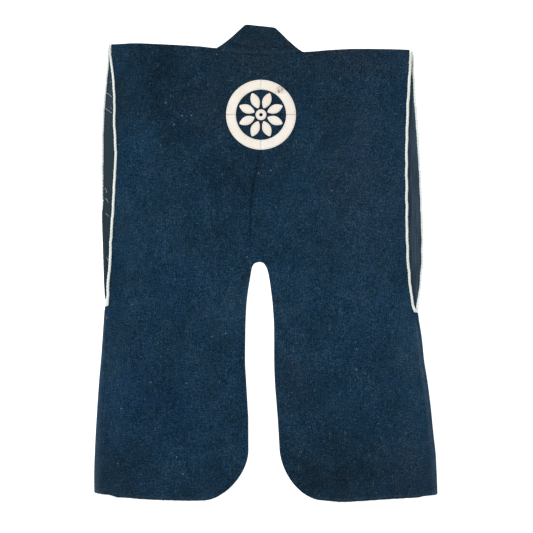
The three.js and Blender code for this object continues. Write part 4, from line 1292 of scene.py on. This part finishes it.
class Look:
    """A material, with short ways to add and join its nodes. Places are in millimetres."""

    def __init__(self, name, roughness, sheen=0.0, specular=0.08):
        self.material = bpy.data.materials.new(name)
        self.material.use_nodes = True
        self.tree = self.material.node_tree
        self.surface = self.tree.nodes["Principled BSDF"]
        self.surface.inputs["Roughness"].default_value = roughness
        self.surface.inputs["Sheen Weight"].default_value = sheen
        self.surface.inputs["Specular IOR Level"].default_value = specular
        metres = self.add("ShaderNodeTexCoord").outputs["Object"]
        self.place = self.vector("SCALE", metres, 1 / MM)

    def add(self, kind, **settings):
        node = self.tree.nodes.new(kind)
        for name, value in settings.items():
            setattr(node, name, value)
        return node

    def join(self, value, socket):
        if isinstance(value, bpy.types.NodeSocket):
            self.tree.links.new(value, socket)
        else:
            socket.default_value = value

    def vector(self, operation, a, b):
        node = self.add("ShaderNodeVectorMath", operation=operation)
        self.join(a, node.inputs[0])
        self.join(b, node.inputs["Scale"] if operation == "SCALE" else node.inputs[1])
        return node.outputs["Value"] if operation == "LENGTH" else node.outputs["Vector"]

    def math(self, operation, a, b=0.0, c=0.0):
        node = self.add("ShaderNodeMath", operation=operation)
        for socket, value in zip(node.inputs, (a, b, c)):
            self.join(value, socket)
        return node.outputs["Value"]

    def sized(self, size, place=None):
        """Places counted in steps of a size along each axis."""
        return self.vector("DIVIDE", place or self.place, size)

    def noise(self, size, detail=2.0, roughness=0.5, place=None):
        node = self.add("ShaderNodeTexNoise")
        self.join(self.sized(size, place), node.inputs["Vector"])
        node.inputs["Scale"].default_value = 1
        node.inputs["Detail"].default_value = detail
        node.inputs["Roughness"].default_value = roughness
        return node.outputs["Fac"]

    def ramp(self, value, low, high, to_low=0.0, to_high=1.0):
        node = self.add("ShaderNodeMapRange", interpolation_type="SMOOTHSTEP")
        for socket, amount in zip(node.inputs, (value, low, high, to_low, to_high)):
            self.join(amount, socket)
        return node.outputs["Result"]

    def mix(self, share, a, b, blend="MIX"):
        node = self.add("ShaderNodeMix", data_type="RGBA", blend_type=blend)
        self.join(share, node.inputs["Factor"])
        colours = [socket for socket in node.inputs if socket.type == "RGBA"]
        self.join(a, colours[0])
        self.join(b, colours[1])
        return next(socket for socket in node.outputs if socket.type == "RGBA")

    def shaded(self, colour, red, green, blue):
        """A colour with each of its channels multiplied."""
        shade = self.add("ShaderNodeCombineXYZ")
        for socket, value in zip(shade.inputs, (red, green, blue)):
            self.join(value, socket)
        return self.mix(1.0, colour, shade.outputs["Vector"], "MULTIPLY")

    def spot(self, x, y, wide, high):
        """A soft patch about a place: 1 at its middle, 0 at its edge."""
        offset = self.vector("SUBTRACT", self.place, (x, y, 0))
        shaped = self.vector("MULTIPLY", offset, (1 / wide, 1 / high, 0))
        return self.ramp(self.vector("LENGTH", shaped, (0, 0, 0)), 1.0, 0.0)

    def patches(self, table):
        """Soft patches by their rows of x, y, half width, half height and strength, the strongest on top."""
        total = 0.0
        for x, y, wide, high, strength in table:
            patch = self.math("MULTIPLY", self.spot(x, y, wide, high), strength)
            total = self.math("MAXIMUM", patch, total)
        return total

    def flecks(self, size, reach, share):
        """Scattered specks: one in a share of cells of a size, each reaching a part of its cell."""
        node = self.add("ShaderNodeTexVoronoi")
        self.join(self.sized(size), node.inputs["Vector"])
        node.inputs["Scale"].default_value = 1
        spread = self.add("ShaderNodeSeparateColor")
        self.join(node.outputs["Color"], spread.inputs[0])
        kept = self.ramp(spread.outputs[0], 1 - share, 1.0, 0.0, 1.0)
        return self.math("MULTIPLY", self.ramp(node.outputs["Distance"], reach, reach * 0.4), kept)

    def weave(self, warp, weft, wander=0.25):
        """Height of a plain weave, from 0 to 1, with yarns of these widths."""
        shift = self.add("ShaderNodeTexNoise")
        self.join(self.sized((9, 9, 9)), shift.inputs["Vector"])
        shift.inputs["Scale"].default_value = 1
        moved = self.vector("ADD", self.place, self.vector("SCALE", shift.outputs["Color"], wander * 4))
        parts = self.add("ShaderNodeSeparateXYZ")
        self.join(moved, parts.inputs[0])
        u = self.math("SINE", self.math("MULTIPLY", parts.outputs["X"], math.pi / warp))
        v = self.math("SINE", self.math("MULTIPLY", parts.outputs["Y"], math.pi / weft))
        warp_up = self.math("GREATER_THAN", self.math("MULTIPLY", u, v), 0.0)
        round_u, round_v = self.math("ABSOLUTE", u), self.math("ABSOLUTE", v)
        along_warp = self.math("MULTIPLY", round_u, self.math("MULTIPLY_ADD", round_v, 0.5, 0.5))
        along_weft = self.math("MULTIPLY", round_v, self.math("MULTIPLY_ADD", round_u, 0.5, 0.5))
        difference = self.math("SUBTRACT", along_warp, along_weft)
        return self.math("ADD", along_weft, self.math("MULTIPLY", warp_up, difference))

    def bump(self, height, depth, strength=1.0, under=None):
        node = self.add("ShaderNodeBump")
        node.inputs["Strength"].default_value = strength
        node.inputs["Distance"].default_value = depth * MM
        self.join(height, node.inputs["Height"])
        if under is not None:
            self.join(under, node.inputs["Normal"])
        return node.outputs["Normal"]

    def finish(self, colour, normal):
        self.join(colour, self.surface.inputs["Base Color"])
        self.join(normal, self.surface.inputs["Normal"])
        return self.material


# The indigo has faded unevenly: a tint, then its patches as x, y, half width, half height and strength
TINTS = [
    (
        (18, 50, 79),
        [
            (-270, -250, 140, 130, 0.7), (-190, -290, 90, 110, 0.6), (-290, 190, 70, 120, 0.35),
            (-180, -60, 130, 120, 0.3), (190, -120, 110, 120, 0.4), (-40, -240, 90, 90, 0.35),
        ],
    ),
    (
        (21, 42, 56),
        [
            (0, 450, 480, 190, 1.0), (-60, 330, 250, 140, 0.75), (140, 310, 150, 120, 0.55),
            (-290, -440, 120, 130, 0.7), (120, -420, 200, 130, 1.0), (280, -420, 90, 120, 0.7),
            (-110, -450, 130, 80, 0.4), (20, 215, 160, 80, 0.35), (-290, 320, 80, 100, 0.75),
        ],
    ),
    (
        (10, 32, 47),
        [
            (-205, 360, 95, 160, 0.75), (-70, 175, 110, 90, 0.65), (160, -400, 150, 90, 0.35),
            (-170, 250, 90, 80, 0.45), (-80, 60, 80, 70, 0.3), (-140, 130, 50, 60, 0.3),
            (-195, -270, 70, 90, 0.25), (-108, 385, 26, 60, 0.35), (90, -270, 60, 90, 0.2),
        ],
    ),
    (
        (36, 50, 67),
        [
            (190, 140, 140, 220, 0.45), (-15, 400, 90, 70, 0.35), (-110, 300, 80, 70, 0.3),
            (40, -230, 70, 120, 0.35), (270, -400, 80, 110, 0.35), (180, 400, 130, 90, 0.4),
        ],
    ),
    (
        (34, 65, 88),
        [
            (230, 60, 150, 420, 0.34), (285, -150, 75, 190, 0.8), (-45, -75, 130, 90, 0.8),
            (190, -75, 90, 80, 0.5), (-290, 115, 70, 90, 0.4), (290, -330, 70, 170, 0.3),
            (-300, -210, 80, 170, 0.45), (85, 110, 70, 60, 0.35), (-200, 60, 70, 120, 0.25),
            (20, -118, 60, 80, 0.45), (320, 420, 90, 160, 0.3), (-255, 30, 40, 60, 0.3),
        ],
    ),
]
# Small pale marks on the indigo, by the same five values
PALE_MARKS = [(-309.6, -105.4, 1.8, 3.2, 0.8), (-95.5, 407.7, 2.6, 2.6, 0.4), (-83.2, 416, 5, 2.4, 0.3)]
# Single pale neps of the yarn, by their place
NEPS = [
    (-162.9, 287.9), (-178.4, 271.3), (-144.6, 288.5), (-194.7, 313.5), (-13.8, 175.8), (10, 181.6),
    (-36.8, 12.9), (128.8, 141.9), (-154.2, -233.1), (-104.1, -142.1), (-77.8, -136.4), (-223.6, -231),
    (-173.5, -377), (-161, -409.9), (-281.3, -281.9), (176.9, -166.4), (176.9, -205.6), (274, -178.7),
]
NEP = (2.2, 2.2, 0.85)  # half width, half height and strength of each
GRAIN_SPREAD = 2.15  # how much paler than the middle tone the palest grain is
RED_HOLDS = 0.93  # how much of the tones' red the yarns keep
RED_CONTRAST = 1.9  # how much more strongly than green the yarns' red changes, as a power
BLUE_CONTRAST = 0.8
INDIGO_WEAVE = (1.25, 1.3)


def faded_indigo(look):
    """The dye alone: a mottle, the faded patches, and a cast between red and blue."""
    mottle = look.noise((55, 70, 60), detail=5, roughness=0.66)
    colour = look.mix(look.ramp(mottle, 0.3, 0.7), tone(17, 46, 66), tone(25, 56, 79))
    uneven_patches = look.ramp(look.noise((34, 40, 34), detail=3), 0.3, 0.7, 0.55, 1.25)
    for tint, table in TINTS:
        share = look.math("MULTIPLY", look.patches(table), uneven_patches)
        colour = look.mix(share, colour, tone(*tint))
    cast = look.noise((16, 20, 16), detail=3, roughness=0.6)
    red_cast = look.ramp(cast, 0.3, 0.7, 1.07, 0.88)
    blue_cast = look.ramp(cast, 0.3, 0.7, 0.94, 1.06)
    return look.shaded(colour, red_cast, 1.0, blue_cast)


def indigo_grain(look):
    grain = look.ramp(look.noise((1.8, 1.9, 1.8), detail=1, roughness=0.8), 0.3, 0.7, -1.0, 1.0)
    return look.math("POWER", GRAIN_SPREAD, grain)


def indigo_yarns(look, weave, grain):
    """Brightness of the yarns: clouds, streaks along both yarns, the grain and the weave."""
    cloud = look.ramp(look.noise((13, 16, 13), detail=3, roughness=0.65), 0.3, 0.7, 0.9, 1.11)
    warp = look.ramp(look.noise((2.2, 22, 40), detail=2, roughness=0.6), 0.25, 0.75, 0.8, 1.2)
    weft = look.ramp(look.noise((12, 2.4, 40), detail=2, roughness=0.6), 0.25, 0.75, 0.78, 1.22)
    yarns = look.ramp(weave, 0.0, 1.0, 0.6, 1.25)
    for field in (cloud, warp, weft, grain):
        yarns = look.math("MULTIPLY", yarns, field)
    return yarns


def with_wear_and_painted_light(look, colour, grain):
    """The painted wear and light: pale above 0 for wear and painted light, most on the palest grain, and
    painted shade below 0.
    """
    worn_and_painted_light = look.add("ShaderNodeAttribute", attribute_name="wear").outputs["Fac"]
    # painted shade: below 0 the attribute darkens the colour, in the nape's crease and the middle seam's
    # hollow
    dark = look.math("MINIMUM", look.math("ADD", worn_and_painted_light, 1.0), 1.0)
    colour = look.shaded(colour, dark, dark, dark)
    # above 0 the colour turns pale, for wear and for painted light at the side seam and the nape's puckers
    worn_and_painted_light = look.math("MULTIPLY", worn_and_painted_light, look.ramp(grain, 0.6, 1.5, 0.7, 1.25))
    return look.mix(look.math("MINIMUM", worn_and_painted_light, 1.0), colour, tone(66, 88, 108))


def with_specks(look, colour):
    neps = look.flecks((7.5, 7.5, 7.5), 0.17, 0.45)
    slubs = look.flecks((5, 24, 8), 0.16, 0.35)
    cross_slubs = look.flecks((22, 5, 8), 0.15, 0.35)
    specks = look.math("MAXIMUM", neps, look.math("MAXIMUM", slubs, cross_slubs))
    colour = look.mix(look.math("MULTIPLY", specks, 0.6), colour, tone(96, 124, 144))
    marks = look.patches(PALE_MARKS + [(x, y, *NEP) for x, y in NEPS])
    return look.mix(marks, colour, tone(124, 132, 152))


def indigo_look():
    look = Look("indigo_hemp", roughness=1.0, sheen=0.04, specular=0.05)
    colour = faded_indigo(look)
    grain = indigo_grain(look)
    weave = look.weave(*INDIGO_WEAVE)
    yarns = indigo_yarns(look, weave, grain)
    red = look.math("MULTIPLY", look.math("POWER", yarns, RED_CONTRAST), RED_HOLDS)
    blue = look.math("POWER", yarns, BLUE_CONTRAST)
    colour = look.shaded(colour, red, yarns, blue)
    colour = with_specks(look, with_wear_and_painted_light(look, colour, grain))
    normal = look.bump(weave, 0.35, 0.8)
    return look.finish(colour, look.bump(yarns, 0.15, 0.5, normal))


def lining_look():
    look = Look("lining_cotton", roughness=1.0, sheen=0.03, specular=0.05)
    streaks = look.ramp(look.noise((2.2, 70, 40), detail=3, roughness=0.6), 0.3, 0.7)
    colour = look.mix(streaks, tone(42, 56, 69), tone(64, 82, 97))
    colour = look.mix(look.spot(-312, 150, 60, 420), colour, tone(46, 61, 69))
    grain = look.ramp(look.noise((1.4, 1.4, 1.4), detail=3, roughness=0.7), 0.25, 0.75, 0.6, 1.4)
    weave = look.weave(0.9, 0.9)
    yarns = look.math("MULTIPLY", grain, look.ramp(weave, 0.0, 1.0, 0.6, 1.25))
    colour = look.shaded(colour, yarns, yarns, yarns)
    specks = look.math("MULTIPLY", look.flecks((6, 9, 6), 0.15, 0.3), 0.6)
    colour = look.mix(specks, colour, tone(120, 134, 140))
    return look.finish(colour, look.bump(weave, 0.25, 0.7))


# Where the cord is painted darker as shade: x, y, half width, half height and strength
CORD_PAINTED_SHADE = [
    (-330, 180, 27, 330, 1.0), (-307, 430, 26, 90, 1.0), (287, 425, 26, 80, 0.7), (-314, -84, 12, 30, 0.5),
]


def cord_look():
    look = Look("white_cord", roughness=0.95, sheen=0.1, specular=0.1)
    fibres = look.noise((0.5, 3.4, 0.5), detail=3, roughness=0.6)
    broad = look.ramp(look.noise((12, 16, 12), detail=2), 0.35, 0.7)
    colour = look.mix(broad, tone(247, 252, 249), tone(234, 241, 234))
    # painted shade: the cord is painted darker where it lies in shade
    colour = look.mix(look.patches(CORD_PAINTED_SHADE), colour, tone(215, 222, 214))
    colour = look.mix(look.ramp(fibres, 0.62, 0.35, 0.0, 0.4), colour, tone(206, 216, 211))
    return look.finish(colour, look.bump(fibres, 0.35, 0.7))


# The stain: x, y, half width and half height of its core, its smudge and a mark beside it
STAIN_CORE = (25.6, 335.0, 4.6, 5.4)
STAIN_SMUDGE = (31.5, 339.0, 15, 11)
STAIN_MARK = (19.2, 333.4, 1.8, 5.5)


def cream_look():
    look = Look("cream_cotton", roughness=0.95, sheen=0.04, specular=0.08)
    broad = look.ramp(look.noise((26, 26, 26), detail=3), 0.3, 0.7)
    colour = look.mix(broad, tone(250, 244, 235), tone(244, 235, 223))
    weave = look.weave(0.62, 0.62, wander=0.12)
    colour = look.mix(look.ramp(weave, 0.5, 0.1, 0.0, 0.25), colour, tone(216, 207, 192))
    blotch = look.ramp(look.noise((4.5, 5.5, 5), detail=4, roughness=0.65), 0.32, 0.56)
    smudge = look.math("MULTIPLY", look.spot(*STAIN_SMUDGE), blotch)
    mark = look.math("MULTIPLY", look.spot(*STAIN_MARK), 0.4)
    core = look.math("MULTIPLY", look.spot(*STAIN_CORE), 1.3)
    stain = look.math("MAXIMUM", look.math("MAXIMUM", smudge, mark), core)
    colour = look.mix(look.math("MINIMUM", stain, 0.85), colour, tone(138, 116, 100))
    return look.finish(colour, look.bump(weave, 0.15, 0.5))


def thread_look(name, light, dark):
    look = Look(name, roughness=0.9, specular=0.1)
    fibres = look.noise((0.5, 0.5, 0.5), detail=2)
    return look.finish(look.mix(fibres, light, dark), look.bump(fibres, 0.1, 0.5))


def floor_look():
    look = Look("pale_floor", roughness=1.0, specular=0.0)
    look.surface.inputs["Base Color"].default_value = (0.9, 0.9, 0.9, 1)
    look.surface.inputs["Emission Color"].default_value = (1, 1, 1, 1)
    look.surface.inputs["Emission Strength"].default_value = 0.6
    return look.material


def add_floor():
    half = FLOOR_SIZE / 2
    corners = np.array([(-half, -half), (half, -half), (half, half), (-half, half)])
    points = np.column_stack([corners, np.full(4, -FLOOR_BELOW)])
    floor = add_object("floor", points, [(0, 1, 2, 3)], floor_look())


# Putting it together


def declare_cloth(piece, slot, nodes, x, y, rests_on, with_pieces=()):
    """Attaches a piece of cloth to the root and hides the solids it stands for. Its slot and pattern are not
    used.
    """
    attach(piece, "root")
    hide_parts(*nodes)


def declare_trim(piece, nodes=()):
    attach(piece, "root")
    if nodes:
        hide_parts(*nodes)


add_floor()
indigo = indigo_look()
lining = lining_look()
cord_white = cord_look()
cream = cream_look()
cream_thread = thread_look("cream_thread", tone(214, 208, 198), tone(188, 184, 178))
seam_thread = thread_look("seam_thread", tone(66, 86, 104), tone(44, 64, 82))
fray_thread = thread_look("fray_thread", tone(70, 88, 100), tone(36, 56, 72))

for side in SIDES:
    front = add_front(side, indigo)
    declare_cloth(front, "indigo_cloth", [f"front_{side.name}"], *front_grid(side), ["floor"])
    inside = add_lining(side, lining)
    declare_cloth(inside, "lining_cloth", [f"lining_{side.name}"], *lining_grid(side), [front.name])
    back = add_back(side, indigo)
    declare_cloth(back, "indigo_cloth", [f"back_{side.name}"], *back_grid(side), [inside.name])
    cord = add_cord(side, cord_white)
    declare_trim(cord, [f"armhole_cord_{side.name}"])

collar = add_collar(indigo)
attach(collar, "root")
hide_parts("collar")

for index in range(RING["arcs"]):
    arc = add_applique_piece(f"ring_arc_{index + 1}", arc_grid(index), cream)
    declare_trim(arc, [f"applique_ring_{index + 1}"])
for index in range(LEAVES):
    leaf = add_applique_piece(f"leaf_{index + 1}", leaf_grid(index), cream)
    declare_trim(leaf, [f"applique_leaf_{index + 1}"])
disc = add_applique_piece("disc", disc_grid(), cream, ring=True)
declare_trim(disc, ["applique_disc"])

declare_trim(add_tubes("applique_stitches", applique_stitches(), cream_thread))
declare_trim(add_tubes("neck_stitches", neck_stitches(), seam_thread))
declare_trim(add_tubes("loose_threads", thread_tubes(), cord_white))
declare_trim(add_tubes("hem_frays", fray_tubes(), fray_thread))
